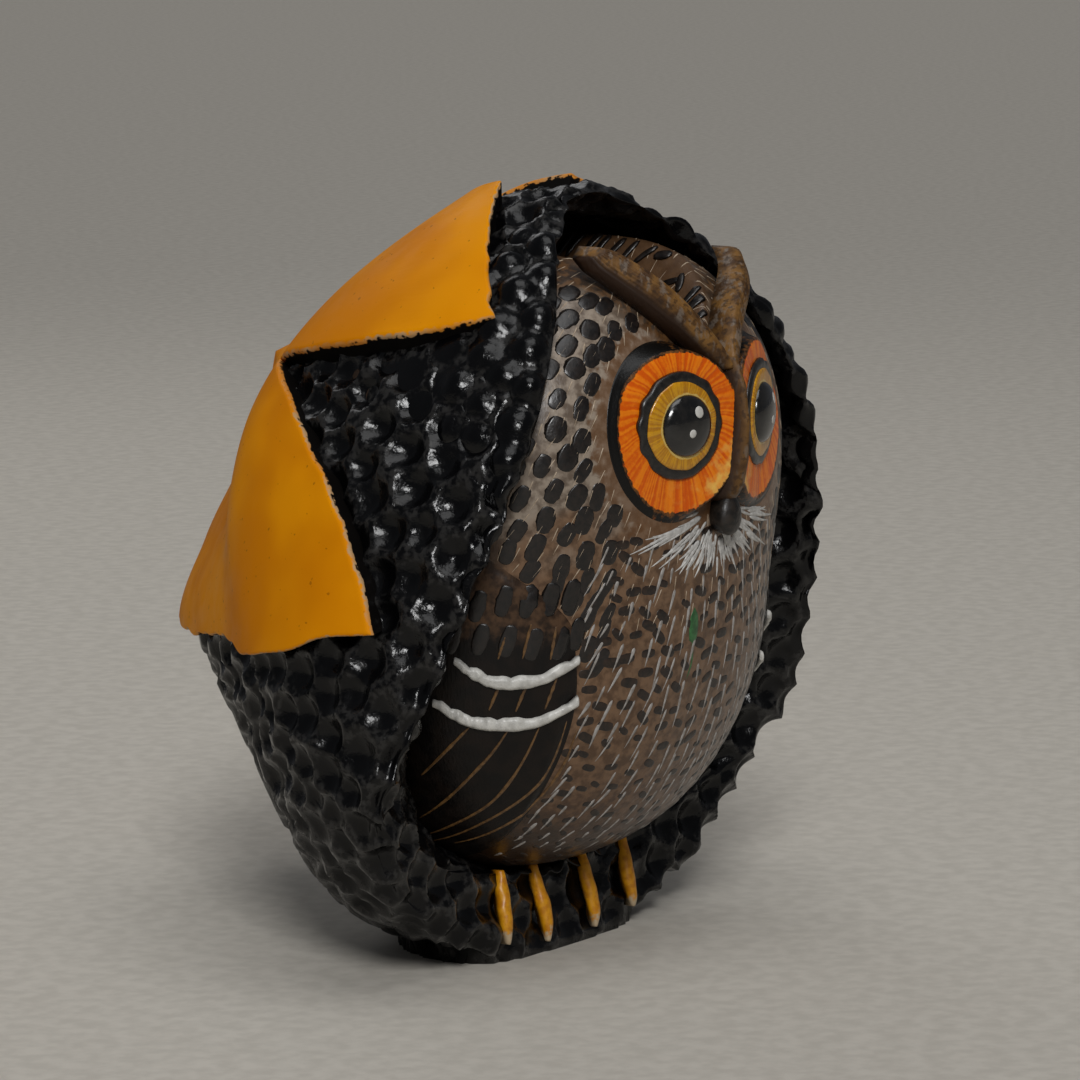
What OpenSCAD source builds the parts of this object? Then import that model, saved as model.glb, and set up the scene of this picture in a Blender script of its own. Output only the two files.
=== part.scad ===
// Carved and painted owl sitting in a hooded wooden shell, with raised petals on the shell's back.
// +Z is up, the owl looks along -Y, and the origin is on the floor under the middle of the shell.
// Every surface comes from two forms: the shell, swept from a point at its back to the sharp edge
// of its mouth, and the owl's body, an egg with squared sides. Angles run round the Y axis from
// the top, towards the owl's right side (-X).

/* [Overall size] */
// Height from the floor to the top of the hood
total_height = 86; // [70:1:120]
// Greatest width across the shell
total_width = 86; // [70:1:120]
// Depth scale: 1 is the natural depth of about 70 mm
depth_scale = 1; // [0.9:0.05:1.2]

/* [Shell] */
// How far the petals stand proud of the gouged surface
petal_rise = 1.5; // [0.8:0.1:2.2]
// Extra lift of the petals' outer corners
corner_lift = 0.9; // [0:0.1:1.5]
// Gap between the owl and the mouth of the hollow
mouth_gap = 1.6; // [0.8:0.1:2.4]

/* [Owl] */
// Half the width of the body
body_half_width = 29.5; // [26:0.5:30]
// Front half of the body's depth
body_front = 25.6; // [23:0.2:26]
// Back half of the body's depth, inside the shell
body_back = 20; // [14:0.5:21]
// Radius of the orange disc round each eye
eye_disc_radius = 8.8; // [7.5:0.1:9.2]
// Radius of each iris
iris_radius = 5.6; // [4.8:0.1:5.8]
// Radius of each pupil
pupil_radius = 3.4; // [3:0.1:4.2]
// How far the pupils bulge from the irises
pupil_bulge = 1.3; // [0.6:0.1:1.8]
// Thickness of the wings at their middle
wing_relief = 0.8; // [0.5:0.1:1.2]

/* [Toes] */
// Width of a toe at its middle
toe_width = 1.9; // [1.4:0.1:2.4]
// How far a toe stands out of the foot
toe_relief = 1.1; // [0.7:0.1:1.5]

/* [Hidden] */

RIGHT = 1;    // the owl's right side, at -X
LEFT = -1;    // the owl's left side, at +X
AROUND = 72;  // points in each ring of the shell and body
BLACK = [0.07, 0.07, 0.08];
ORANGE = [0.93, 0.56, 0.06];
BROWN = [0.42, 0.33, 0.24];
DARK_BROWN = [0.16, 0.11, 0.08];
DEEP_ORANGE = [0.85, 0.38, 0.06];
YELLOW = [0.87, 0.60, 0.08];
PALE = [0.85, 0.84, 0.80];

// Everything below is drawn for a shell 86 high and 86 wide, then stretched to the chosen size.
NATURAL = 86;
STRETCH = [total_width / NATURAL, depth_scale, total_height / NATURAL];
MIDDLE = [0, 0, 43];
function fitted(p) = [p.x * STRETCH.x, p.y * STRETCH.y, p.z * STRETCH.z];

// Small helpers
function smooth(t) = let (k = min(max(t, 0), 1)) k * k * (3 - 2 * k);
function unit(v) = v / norm(v);
function mix(a, b, t) = a + (b - a) * t;
function flipped(side, p) = [side * p.x, p.y, p.z];
function curve_through(rows, u) = let (
    last = len(rows) - 1,
    i = min(floor(u), last - 1),
    f = u - i,
    p1 = rows[i],
    p2 = rows[i + 1],
    p0 = i > 0 ? rows[i - 1] : 2 * p1 - p2,
    p3 = i + 2 <= last ? rows[i + 2] : 2 * p2 - p1
) 0.5 * (2 * p1 + (p2 - p0) * f + (2 * p0 - 5 * p1 + 4 * p2 - p3) * f * f
    + (3 * p1 - p0 - 3 * p2 + p3) * f * f * f);

// The shell's stations, from the point at its back to the sharp edge of its mouth: half-width,
// then height and depth at the side, at the top and at the bottom, then how much the top
// narrows and how far its shoulders lean forward. Heights count from the middle of the shell.
STATIONS = [
    [0.0, 21.0, 32.5, 21.0, 32.5, 21.0, 32.5, 0, 0],
    [3.5, 19.0, 30.0, 22.3, 29.5, 15.0, 33.5, 0, 0],
    [10.5, 15.5, 26.5, 24.8, 23.5, 7.5, 36.0, 0, 0],
    [19.0, 10.5, 23.0, 29.0, 17.0, -1.0, 39.5, 0.03, 0],
    [28.0, 4.0, 18.5, 35.5, 10.5, -11.0, 41.0, 0.08, 0],
    [36.0, -4.0, 10.5, 41.0, 2.0, -23.0, 31.0, 0.13, -4],
    [41.5, -9.5, 1.0, 43.0, -4.5, -42.5, 13.0, 0.17, -13],
    [43.0, -14.5, -6.5, 43.0, -7.5, -44.6, -7.2, 0.23, -22],
    [41.6, -18.0, -10.8, 41.0, -10.7, -33.5, -6.4, 0.30, -27]
];
EDGE = len(STATIONS) - 1;

// A point of the shell's full outside, petals included: u counts stations, a is the angle. The
// bottom dips a little below the floor, where the foot is cut flat.
SHOULDER_BLEND = 0.03;  // how softly the narrowing sets in above the sides
SIDE_BLEND = 0.4;       // how far up and down the two half-heights blend into each other
function outside(u, a) = let (
    s = curve_through(STATIONS, u),
    up = cos(a),
    toward_top = (up + sqrt(up * up + SHOULDER_BLEND)) / 2,
    reach = mix(s[1] - s[5], s[3] - s[1], smooth((up / SIDE_BLEND + 1) / 2)),
    depth = mix(s[2], up >= 0 ? s[4] : s[6], up * up)
) [
    -s[0] * sin(a) * (1 - s[7] * toward_top),
    depth + s[8] * sin(a) * sin(a) * toward_top,
    MIDDLE.z + s[1] + reach * up
];

// The gouged black surface lies lower than the petals, and meets the full outside at the mouth
FADE_START = 6.4;  // the station from which the two surfaces draw together
FADE_LENGTH = 1.2;
function gouged(u, a) = let (
    p = outside(u, a),
    sinking = petal_rise * (1 - smooth((u - FADE_START) / FADE_LENGTH))
) p - unit(p - MIDDLE) * sinking;

// The owl's body: a squared egg about an axis along Y
BODY_MIDDLE = [0, -1.5, 44.2];
BODY_TOP = 35.5;
BODY_BOTTOM = 35.3;
SQUARENESS = 2.35;
function body_half_height(rise) = rise >= 0 ? BODY_TOP : BODY_BOTTOM;
function from_middle(x, z) = let (rise = z - BODY_MIDDLE.z)
    pow(pow(abs(x) / body_half_width, SQUARENESS)
        + pow(abs(rise) / body_half_height(rise), SQUARENESS), 1 / SQUARENESS);
function body_front_y(x, z, widest = 0.985) = let (
    s = min(from_middle(x, z), widest),
    flatness = 2.15 + 1.15 * smooth((z - BODY_MIDDLE.z + 6) / 30)
) BODY_MIDDLE.y - body_front * pow(1 - pow(s, flatness), 1 / flatness);
function body_point(x, z) = [x, body_front_y(x, z), z];
function body_normal(x, z) = let (
    step = 0.2,
    slope_x = (body_front_y(x + step, z) - body_front_y(x - step, z)) / (2 * step),
    slope_z = (body_front_y(x, z + step) - body_front_y(x, z - step)) / (2 * step)
) unit([slope_x, -1, slope_z]);

// The outline of the body seen from the front, along the ray through the mouth's edge at angle a
function ray(a) = let (e = outside(EDGE, a)) atan2(-e.x, e.z - BODY_MIDDLE.z);
function outline_radius(ray_angle) = let (tall = body_half_height(cos(ray_angle)))
    1 / pow(pow(abs(sin(ray_angle)) / body_half_width, SQUARENESS)
        + pow(abs(cos(ray_angle)) / tall, SQUARENESS), 1 / SQUARENESS);
function body_polar_point(tilt, t) = let (
    r = outline_radius(t) * sin(tilt),
    x = -r * sin(t),
    z = BODY_MIDDLE.z + r * cos(t)
) [x, tilt > 90 ? body_front_y(x, z, 1) : BODY_MIDDLE.y + body_back * cos(tilt), z];

function body_ring_point(tilt, a) = body_polar_point(tilt, ray(a));

// The wall of the hollow just inside the mouth, with a gap that closes at the owl's feet
GAP_CLOSED = -0.98;  // cosine of the ray's angle where the gap is closed
GAP_OPENING = 0.25;  // change of cosine over which it opens
function mouth_point(a, depth_part, gap_part) = let (
    t = ray(a),
    r = outline_radius(t) + mouth_gap * gap_part * smooth((cos(t) - GAP_CLOSED) / GAP_OPENING),
    e = outside(EDGE, a)
) [-r * sin(t), e.y * depth_part, BODY_MIDDLE.z + r * cos(t)];

CONTACT = 78;                       // the body touches the hollow from here back
BACK_TILTS = [60, 42, 22];          // rings shared by the body's back and the hollow
FRONT_TILTS = [90, 100, 112, 124, 136, 148, 160, 171];

// Closed solid from a point, through rings with equal numbers of points, to another point
module loft(start, rings, finish) {
    count = len(rings[0]);
    rows = len(rings);
    points = concat([start], [for (r = rings) for (p = r) p], [finish]);
    first = [for (j = [0:count - 1]) [0, 1 + j, 1 + (j + 1) % count]];
    sides = [for (i = [0:rows - 2]) for (j = [0:count - 1]) let (
        k = (j + 1) % count,
        p = 1 + i * count
    ) each [[p + j, p + count + j, p + count + k], [p + j, p + count + k, p + k]]];
    top = 1 + (rows - 1) * count;
    last = [for (j = [0:count - 1]) [top + count, top + (j + 1) % count, top + j]];
    polyhedron([for (p = points) fitted(p)], concat(first, sides, last));
}

// The same for a mirrored piece, whose rings run the other way round
module sided_loft(side, start, rings, finish) {
    turned = side == RIGHT ? rings : [for (r = rings) [for (i = [len(r) - 1:-1:0]) r[i]]];
    loft(start, turned, finish);
}

// Everything under the floor is cut away, which leaves one flat face to stand on
module foot_cut() {
    deep = 10;
    translate([-total_width, -total_width, -deep]) cube([2 * total_width, 2 * total_width, deep]);
}

module shell() {
    angles = [for (j = [0:AROUND - 1]) 360 * j / AROUND];
    skin = [for (u = [0.3:0.35:EDGE - 0.1]) [for (a = angles) gouged(u, a)]];
    edge = [for (a = angles) outside(EDGE, a)];
    wall = [[0.75, 1.0], [0.5, 1], [0.2, 0.7]];
    bevel = [for (a = angles) mix(outside(EDGE, a), mouth_point(a, wall[0][0], wall[0][1]), 0.5)];
    mouth = [for (w = [1:2]) [for (a = angles) mouth_point(a, wall[w][0], wall[w][1])]];
    hollow = [for (t = concat([CONTACT], BACK_TILTS)) [for (a = angles) body_ring_point(t, a)]];
    color(BLACK) difference() {
        loft(gouged(0, 0), concat(skin, [edge, bevel], mouth, hollow), body_ring_point(0, 0));
        foot_cut();
    }
}

module owl_body() {
    angles = [for (j = [0:AROUND - 1]) 360 * j / AROUND];
    tilts = concat([BACK_TILTS[2], BACK_TILTS[1], BACK_TILTS[0], CONTACT], FRONT_TILTS);
    rings = [for (t = tilts) [for (a = angles) body_ring_point(t, a)]];
    color(BROWN) loft(body_ring_point(0, 0), rings, body_point(0, BODY_MIDDLE.z));
}

// Petals: v runs from the point to the outer end, and w across from the upper edge to the lower.
// Each gives [station, angle]: the angles of the two long edges part and close again past v = 0.5.
SEAM = 52;         // the angle along which the upper and the lower petal join
UPPER_REACH = 5.75;  // the station where an upper petal ends, at its upper edge
LOWER_REACH = 3.8;   // the station where a lower petal ends, at its lower edge
LOWER_CORNER = 2.1;  // how much further the lower petal's front corner reaches
function spread(v) = max((v - 0.5) / 0.5, 0);
function upper_petal(v, w) = [v * (UPPER_REACH + 1.15 * w),
    mix(11.5 * pow(spread(v), 1.2), SEAM - 11 * pow(spread(v), 1.6), w)];
function lower_petal(v, w) = [v * (LOWER_REACH + 0.9 * pow(1 - w, 0.8) + LOWER_CORNER * exp(-w / 0.15)),
    mix(SEAM + 26 * pow(spread(v), 1.3), 180 - 17 * pow(spread(v), 1.3), w)];

module petal(side, upper) {
    across = 12;
    rows = [for (v = [0.05:0.0791:1]) v];
    rings = [for (v = rows) concat(
        [for (j = [0:across]) let (
            w = j / across,
            place = upper ? upper_petal(v, w) : lower_petal(v, w),
            p = outside(place[0], place[1]),
            lift = corner_lift * pow(v, 5) * pow(abs(2 * w - 1), 3)
        ) flipped(side, p + unit(p - MIDDLE) * lift)],
        [for (j = [across:-1:0]) let (
            place = upper ? upper_petal(v, j / across) : lower_petal(v, j / across)
        ) flipped(side, gouged(place[0], place[1]))]
    )];
    end = rings[len(rings) - 1];
    middle = (end[floor(across / 2)] + end[across + 1 + floor(across / 2)]) / 2;
    color(ORANGE) sided_loft(side, outside(0, 0), rings, middle);
}

// Brows: a ridge that rises from between the eyes to the ear tufts
BROW_LINE = [[-0.6, -29, 65.3], [-4.4, -27, 70], [-8.4, -24, 74.5], [-12.4, -19.6, 78.4]];
BROW_WIDTH = [1.6, 2.0, 2.2, 1.8];
module brow(side) {
    steps = 12;
    across = 8;
    rings = [for (i = [0:steps]) let (
        t = i / steps * (len(BROW_LINE) - 1),
        c = curve_through(BROW_LINE, t),
        ahead = curve_through(BROW_LINE, min(t + 0.05, len(BROW_LINE) - 1.001)),
        behind = curve_through(BROW_LINE, max(t - 0.05, 0)),
        along = unit([ahead.x - behind.x, ahead.z - behind.z]),
        half = curve_through(BROW_WIDTH, t)
    ) concat(
        [for (j = [0:across]) let (
            w = 2 * j / across - 1,
            x = min(c.x - along[1] * half * w, -0.05),
            z = c.z + along[0] * half * w,
            rise = (body_front_y(c.x, c.z) - c.y) * pow(1 - w * w, 0.4) + 0.15
        ) flipped(side, [x, body_front_y(x, z) - rise, z])],
        [for (j = [across:-1:0]) let (
            w = 2 * j / across - 1,
            x = min(c.x - along[1] * half * w, -0.05),
            z = c.z + along[0] * half * w
        ) flipped(side, body_point(x, z))]
    )];
    color(BROWN) sided_loft(-side, centre_of(rings[0]), rings, centre_of(rings[steps]));
}
function centre_of(ring) = [for (p = ring) 1] * ring / len(ring);

// Eyes: a frame set on the face, turned outwards
EYE = [-7.9, -26.9, 59.4];
EYE_TURN = 17;
DISC_RISE = 0.5;
IRIS_RISE = 0.5;
IRIS_LIFT = 0.8;  // the irises sit a little above the middle of the discs
function eye_point(side, r, a, rise) = flipped(side, EYE
    + r * sin(a) * [cos(EYE_TURN), -sin(EYE_TURN), 0] + [0, 0, r * cos(a)]
    + rise * [-sin(EYE_TURN), -cos(EYE_TURN), 0]);
function eye_ring(side, r, rise, lift = 0) = [for (j = [0:35])
    eye_point(side, r, 10 * j, rise) + [0, 0, lift]];
function on_body(p) = body_point(p.x, p.z);

module eye_disc(side) {
    back = [for (r = [0.35, 0.7, 1] * eye_disc_radius) [for (p = eye_ring(side, r, 0)) on_body(p)]];
    front = [eye_ring(side, eye_disc_radius, 0.2), eye_ring(side, eye_disc_radius - 0.5, 0.4),
        eye_ring(side, iris_radius, DISC_RISE, IRIS_LIFT)];
    color(DEEP_ORANGE) sided_loft(-side, on_body(eye_point(side, 0, 0, 0)), concat(back, front),
        eye_point(side, IRIS_LIFT, 0, DISC_RISE));
}

module iris(side) {
    rings = [eye_ring(side, iris_radius, DISC_RISE, IRIS_LIFT),
        eye_ring(side, iris_radius - 0.3, DISC_RISE + 0.35, IRIS_LIFT),
        eye_ring(side, pupil_radius, DISC_RISE + IRIS_RISE, IRIS_LIFT)];
    color(YELLOW) sided_loft(-side, eye_point(side, IRIS_LIFT, 0, DISC_RISE), rings,
        eye_point(side, IRIS_LIFT, 0, DISC_RISE + IRIS_RISE));
}

module pupil(side) {
    base = DISC_RISE + IRIS_RISE;
    rings = [for (t = [0:15:75])
        eye_ring(side, pupil_radius * cos(t), base + pupil_bulge * sin(t), IRIS_LIFT)];
    color(BLACK) sided_loft(-side, eye_point(side, IRIS_LIFT, 0, base), rings,
        eye_point(side, IRIS_LIFT, 0, base + pupil_bulge));
}

// Beak: an oval bead that droops over the breast
BEAK = [0, 50.2];
BEAK_SIZE = [2.2, 2.8];
BEAK_RISE = 2.4;
function beak_ring(r) = [for (j = [0:23])
    body_point(BEAK[0] + r * BEAK_SIZE[0] * sin(15 * j), BEAK[1] + r * BEAK_SIZE[1] * cos(15 * j))];
module beak() {
    back = [for (r = [0.5, 1]) beak_ring(r)];
    front = [for (t = [15:15:75]) [for (p = beak_ring(cos(t)))
        p + [0, -BEAK_RISE * sin(t), -0.4 * sin(t)]]];
    tip = body_point(BEAK[0], BEAK[1]) + [0, -BEAK_RISE, -0.4];
    color(BLACK) sided_loft(LEFT, body_point(BEAK[0], BEAK[1]), concat(back, front), tip);
}

// Wings: thin shields round the body's sides, from p = 0 at the shoulder to p = 1 at the tip,
// and from q = 0 at the back, behind the mouth's edge, to q = 1 at the front
SHOULDER = 84;
WING_TIP = 157;
WING_BACK = 84;
function wing_front(t) = t < 107
    ? mix(138, 116, pow((107 - t) / (107 - SHOULDER), 2))
    : mix(138, 92, pow((t - 107) / (WING_TIP - 107), 3.2));
function wing_relief_at(p, q) = wing_relief * pow(max(1 - pow(2 * q - 1, 4), 0), 0.5)
    * pow(max(1 - pow(2 * p - 1, 6), 0), 0.5) + 0.05;
function wing_point(side, p, q, relief) = let (
    t = mix(SHOULDER, WING_TIP, p),
    tilt = mix(WING_BACK, wing_front(t), q),
    seat = body_polar_point(tilt, t),
    outward = cross(body_polar_point(tilt, t + 0.5) - body_polar_point(tilt, t - 0.5),
        body_polar_point(tilt + 0.5, t) - body_polar_point(tilt - 0.5, t))
) flipped(side, seat + unit(outward) * relief);

module wing(side) {
    steps = 14;
    across = 8;
    rings = [for (i = [0:steps]) let (p = i / steps) concat(
        [for (j = [0:across]) wing_point(side, p, j / across, wing_relief_at(p, j / across))],
        [for (j = [across:-1:0]) wing_point(side, p, j / across, 0)]
    )];
    color(DARK_BROWN) sided_loft(-side, centre_of(rings[0]), rings, centre_of(rings[steps]));
}

// White bars: raised wavy strips across the wing, as [x, z] along their middle
UPPER_BAR = [[-27.2, 35.9], [-26, 34.4], [-24.4, 33.6], [-21.8, 34], [-18.9, 35.8]];
LOWER_BAR = [[-27.3, 31.3], [-26, 29.8], [-24.4, 29.1], [-21.6, 29.2], [-18.3, 31.2]];
BAR_HALF_WIDTH = 0.65;
BAR_RELIEF = 0.6;
module wing_bar(side, line) {
    steps = 16;
    rings = [for (i = [0:steps]) let (
        t = i / steps * (len(line) - 1),
        c = curve_through(line, t),
        half = BAR_HALF_WIDTH * (0.45 + 0.55 * sin(180 * i / steps)),
        n = body_normal(c[0], c[1]),
        seat = body_point(c[0], c[1]) + n * (wing_relief + 0.05),
        corners = [[-1, 0], [-0.6, 0.8], [0.6, 0.8], [1, 0]]
    ) [for (k = corners) flipped(side, seat + [0, 0, k[0] * half] + n * k[1] * BAR_RELIEF)]];
    color(PALE) sided_loft(-side, centre_of(rings[0]), rings, centre_of(rings[steps]));
}

// Toes: spindles down the front of the foot, at an angle from straight down
TOE_TOP = 8;
TOE_TIP = 7.32;
module toe(angle) {
    steps = 8;
    rings = [for (i = [0:steps]) let (
        t = i / steps,
        u = mix(TOE_TOP, TOE_TIP, t),
        c = outside(u, angle),
        down = unit(outside(u - 0.05, angle) - outside(u, angle)),
        across = unit(outside(u, angle + 1) - outside(u, angle - 1)),
        out = unit(cross(across, down)),
        half = toe_width / 2 * pow(sin(180 * mix(0.08, 0.97, t)), 0.6),
        rise = toe_relief * pow(sin(180 * mix(0.12, 0.96, t)), 0.7),
        facing = out.y < 0 ? out : -out
    ) [for (k = [180:-30:0]) c + across * half * cos(k) + facing * rise * sin(k)]];
    color(YELLOW) sided_loft(LEFT, centre_of(rings[0]), rings, centre_of(rings[steps]));
}

shell();
petal(RIGHT, true);  // petal_upper_right
petal(LEFT, true);  // petal_upper_left
petal(RIGHT, false);  // petal_lower_right
petal(LEFT, false);  // petal_lower_left
owl_body();
brow(RIGHT);  // brow_right
brow(LEFT);  // brow_left
eye_disc(RIGHT);  // eye_disc_right
eye_disc(LEFT);  // eye_disc_left
iris(RIGHT);  // iris_right
iris(LEFT);  // iris_left
pupil(RIGHT);  // pupil_right
pupil(LEFT);  // pupil_left
beak();
wing(RIGHT);  // wing_right
wing(LEFT);  // wing_left
wing_bar(RIGHT, UPPER_BAR);  // wing_bar_upper_right
wing_bar(RIGHT, LOWER_BAR);  // wing_bar_lower_right
wing_bar(LEFT, UPPER_BAR);  // wing_bar_upper_left
wing_bar(LEFT, LOWER_BAR);  // wing_bar_lower_left
toe(163);  // toe_right_outer
toe(173.6);  // toe_right_inner
toe(186.4);  // toe_left_inner
toe(197);  // toe_left_outer
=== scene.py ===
"""Looks for the carved and painted owl in its gouged wooden hood.

Every form comes from the same two surfaces as the CAD model: the shell, swept from its point to
the edge of its mouth, and the owl's body, an egg with squared sides. Lengths are in millimetres
and angles in degrees until a mesh is made. +Z is up and the owl looks along -Y.
"""
import math
import bpy
import numpy as np
from mathutils import Matrix, Vector


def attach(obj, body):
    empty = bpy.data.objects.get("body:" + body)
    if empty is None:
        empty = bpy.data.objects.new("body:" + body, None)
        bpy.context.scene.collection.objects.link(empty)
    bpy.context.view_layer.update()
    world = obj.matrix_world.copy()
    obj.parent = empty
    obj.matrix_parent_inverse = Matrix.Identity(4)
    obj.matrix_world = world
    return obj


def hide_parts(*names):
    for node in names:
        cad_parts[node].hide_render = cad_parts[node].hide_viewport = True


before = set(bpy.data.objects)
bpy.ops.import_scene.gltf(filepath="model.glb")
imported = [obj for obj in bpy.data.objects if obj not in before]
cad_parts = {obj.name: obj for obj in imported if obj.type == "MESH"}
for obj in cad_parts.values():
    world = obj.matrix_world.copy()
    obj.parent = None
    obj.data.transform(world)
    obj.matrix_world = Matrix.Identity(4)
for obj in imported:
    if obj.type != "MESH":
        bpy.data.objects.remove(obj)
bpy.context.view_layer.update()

MM = 0.001
RIGHT, LEFT = 1, -1  # the owl's right side is at -X
chance = np.random.default_rng(20)

# ---------------------------------------------------------------- small helpers


def mix(a, b, t):
    return a + (b - a) * t


def smooth(t):
    k = np.clip(t, 0, 1)
    return k * k * (3 - 2 * k)


def unit(v):
    return v / np.maximum(np.linalg.norm(v, axis=-1, keepdims=True), 1e-9)


def sin(a):
    return np.sin(np.radians(a))


def cos(a):
    return np.cos(np.radians(a))


def point(x, y, z):
    return np.stack(np.broadcast_arrays(x, y, z), -1).astype(float)


def flipped(side, p):
    return p * np.array([side, 1, 1])


def curve_through(rows, u):
    """The smooth curve through rows of numbers, at u counted in rows."""
    rows = np.asarray(rows, float)
    last = len(rows) - 1
    u = np.asarray(u, float)
    i = np.clip(np.floor(u).astype(int), 0, last - 1)
    f = (u - i)[..., None]
    p1, p2 = rows[i], rows[i + 1]
    p0 = np.where((i > 0)[..., None], rows[np.maximum(i - 1, 0)], 2 * p1 - p2)
    p3 = np.where((i + 2 <= last)[..., None], rows[np.minimum(i + 2, last)], 2 * p2 - p1)
    return 0.5 * (2 * p1 + (p2 - p0) * f + (2 * p0 - 5 * p1 + 4 * p2 - p3) * f**2
                  + (3 * p1 - p0 - 3 * p2 + p3) * f**3)


def wander(t, waves, low, high):
    """A smooth random line along t: a sum of sine waves between two frequencies."""
    total = np.zeros_like(t, float)
    for _ in range(waves):
        total += np.sin(2 * np.pi * (chance.uniform(low, high) * t + chance.random()))
    return total / math.sqrt(waves)


# ---------------------------------------------------------------- the two surfaces

# Stations from the shell's point to the edge of its mouth: half-width, then height and depth at
# the side, at the top and at the bottom, how much the top narrows, and how far it leans forward
STATIONS = [
    [0.0, 21.0, 32.5, 21.0, 32.5, 21.0, 32.5, 0, 0],
    [3.5, 19.0, 30.0, 22.3, 29.5, 15.0, 33.5, 0, 0],
    [10.5, 15.5, 26.5, 24.8, 23.5, 7.5, 36.0, 0, 0],
    [19.0, 10.5, 23.0, 29.0, 17.0, -1.0, 39.5, 0.03, 0],
    [28.0, 4.0, 18.5, 35.5, 10.5, -11.0, 41.0, 0.08, 0],
    [36.0, -4.0, 10.5, 41.0, 2.0, -23.0, 31.0, 0.13, -4],
    [41.5, -9.5, 1.0, 43.0, -4.5, -42.5, 13.0, 0.17, -13],
    [43.0, -14.5, -6.5, 43.0, -7.5, -44.6, -7.2, 0.23, -22],
    [41.6, -18.0, -10.8, 41.0, -10.7, -33.5, -6.4, 0.30, -27],
]
EDGE = len(STATIONS) - 1
MIDDLE = np.array([0, 0, 43.0])
PETAL_RISE = 1.5
MOUTH_GAP = 1.6

BODY_MIDDLE = np.array([0, -1.5, 44.2])
BODY_HALF_WIDTH = 29.5
BODY_TOP = 35.5
BODY_BOTTOM = 35.3
BODY_FRONT = 25.6
BODY_BACK = 20
SQUARENESS = 2.35


def outside(u, a):
    """The shell's full outside, petals included, at station u and angle a from the top."""
    s = curve_through(STATIONS, u)
    width, side_z, side_y, top_z, top_y, low_z, low_y, narrow, lean = np.moveaxis(s, -1, 0)
    up = cos(a)
    toward_top = (up + np.sqrt(up * up + 0.03)) / 2
    reach = mix(side_z - low_z, top_z - side_z, smooth((up + 0.4) / 0.8))
    depth = mix(side_y, np.where(up >= 0, top_y, low_y), up * up)
    x = -width * sin(a) * (1 - narrow * toward_top)
    y = depth + lean * sin(a)**2 * toward_top
    return point(x, y, np.maximum(MIDDLE[2] + side_z + reach * up, 0))


def sunk(p, depth):
    """p moved towards the shell's middle, but never below the floor."""
    q = p - unit(p - MIDDLE) * np.asarray(depth)[..., None]
    q[..., 2] = np.where(p[..., 2] <= 0, 0, np.maximum(q[..., 2], 0))
    return q


def gouged_depth(u):
    return PETAL_RISE * (1 - smooth((u - 6.4) / 1.2))


def gouged(u, a):
    """The black surface, lower than the petals, which meets the full outside at the mouth."""
    return sunk(outside(u, a), gouged_depth(u))


def from_middle(x, z):
    rise = z - BODY_MIDDLE[2]
    tall = np.where(rise >= 0, BODY_TOP, BODY_BOTTOM)
    return ((np.abs(x) / BODY_HALF_WIDTH)**SQUARENESS
            + (np.abs(rise) / tall)**SQUARENESS)**(1 / SQUARENESS)


def flatness(z):
    return 2.15 + 1.15 * smooth((z - BODY_MIDDLE[2] + 6) / 30)


def body_front_y(x, z, widest=0.985):
    s = np.minimum(from_middle(x, z), widest)
    f = flatness(z)
    return BODY_MIDDLE[1] - BODY_FRONT * (1 - s**f)**(1 / f)


def body_point(x, z):
    return point(x, body_front_y(x, z), z)


def outline_radius(t):
    """The body's outline seen from the front, along a ray at angle t from the top."""
    tall = np.where(cos(t) >= 0, BODY_TOP, BODY_BOTTOM)
    return ((np.abs(sin(t)) / BODY_HALF_WIDTH)**SQUARENESS
            + (np.abs(cos(t)) / tall)**SQUARENESS)**(-1 / SQUARENESS)


def body_polar(tilt, t):
    """A point of the body: tilt runs from the back (0) over the outline (90) to the front."""
    r = outline_radius(t) * sin(tilt)
    x, z = -r * sin(t), BODY_MIDDLE[2] + r * cos(t)
    back = BODY_MIDDLE[1] + BODY_BACK * cos(tilt)
    return point(x, np.where(tilt > 90, body_front_y(x, z, 1), back), z)


def ray(a):
    e = outside(EDGE, a)
    return np.degrees(np.arctan2(-e[..., 0], e[..., 2] - BODY_MIDDLE[2]))


def mouth_point(a, depth_part, gap_part):
    """The wall of the hollow just inside the mouth."""
    t = ray(a)
    r = outline_radius(t) + MOUTH_GAP * gap_part * smooth((cos(t) + 0.98) / 0.25)
    return point(-r * sin(t), outside(EDGE, a)[..., 1] * depth_part, BODY_MIDDLE[2] + r * cos(t))


def body_level(p):
    """1 on the front of the body, less inside it and more outside it."""
    f = flatness(p[..., 2])
    depth = np.abs(p[..., 1] - BODY_MIDDLE[1]) / BODY_FRONT
    return (from_middle(p[..., 0], p[..., 2])**f + depth**f)**(1 / f)


def onto_body(p):
    """The points moved along rays from the body's middle until they lie on its surface."""
    for _ in range(5):
        p = BODY_MIDDLE + (p - BODY_MIDDLE) / body_level(p)[..., None]
    return p


def body_out(p):
    """The outward direction of the body's surface at each point."""
    step = 0.05 * np.eye(3)
    return unit(np.stack([body_level(p + s) - body_level(p - s) for s in step], -1))


# ---------------------------------------------------------------- meshes


def outward(points, quads, tris):
    """The same closed solid with its faces turned outwards."""
    p = points - points.mean(axis=0)
    corners = np.concatenate([quads[:, [0, 1, 2]], quads[:, [0, 2, 3]], tris])
    a, b, c = p[corners[:, 0]], p[corners[:, 1]], p[corners[:, 2]]
    if np.einsum("ij,ij->", a, np.cross(b, c)) < 0:
        quads, tris = quads[:, ::-1], tris[:, ::-1]
    return points, quads, tris


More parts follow.
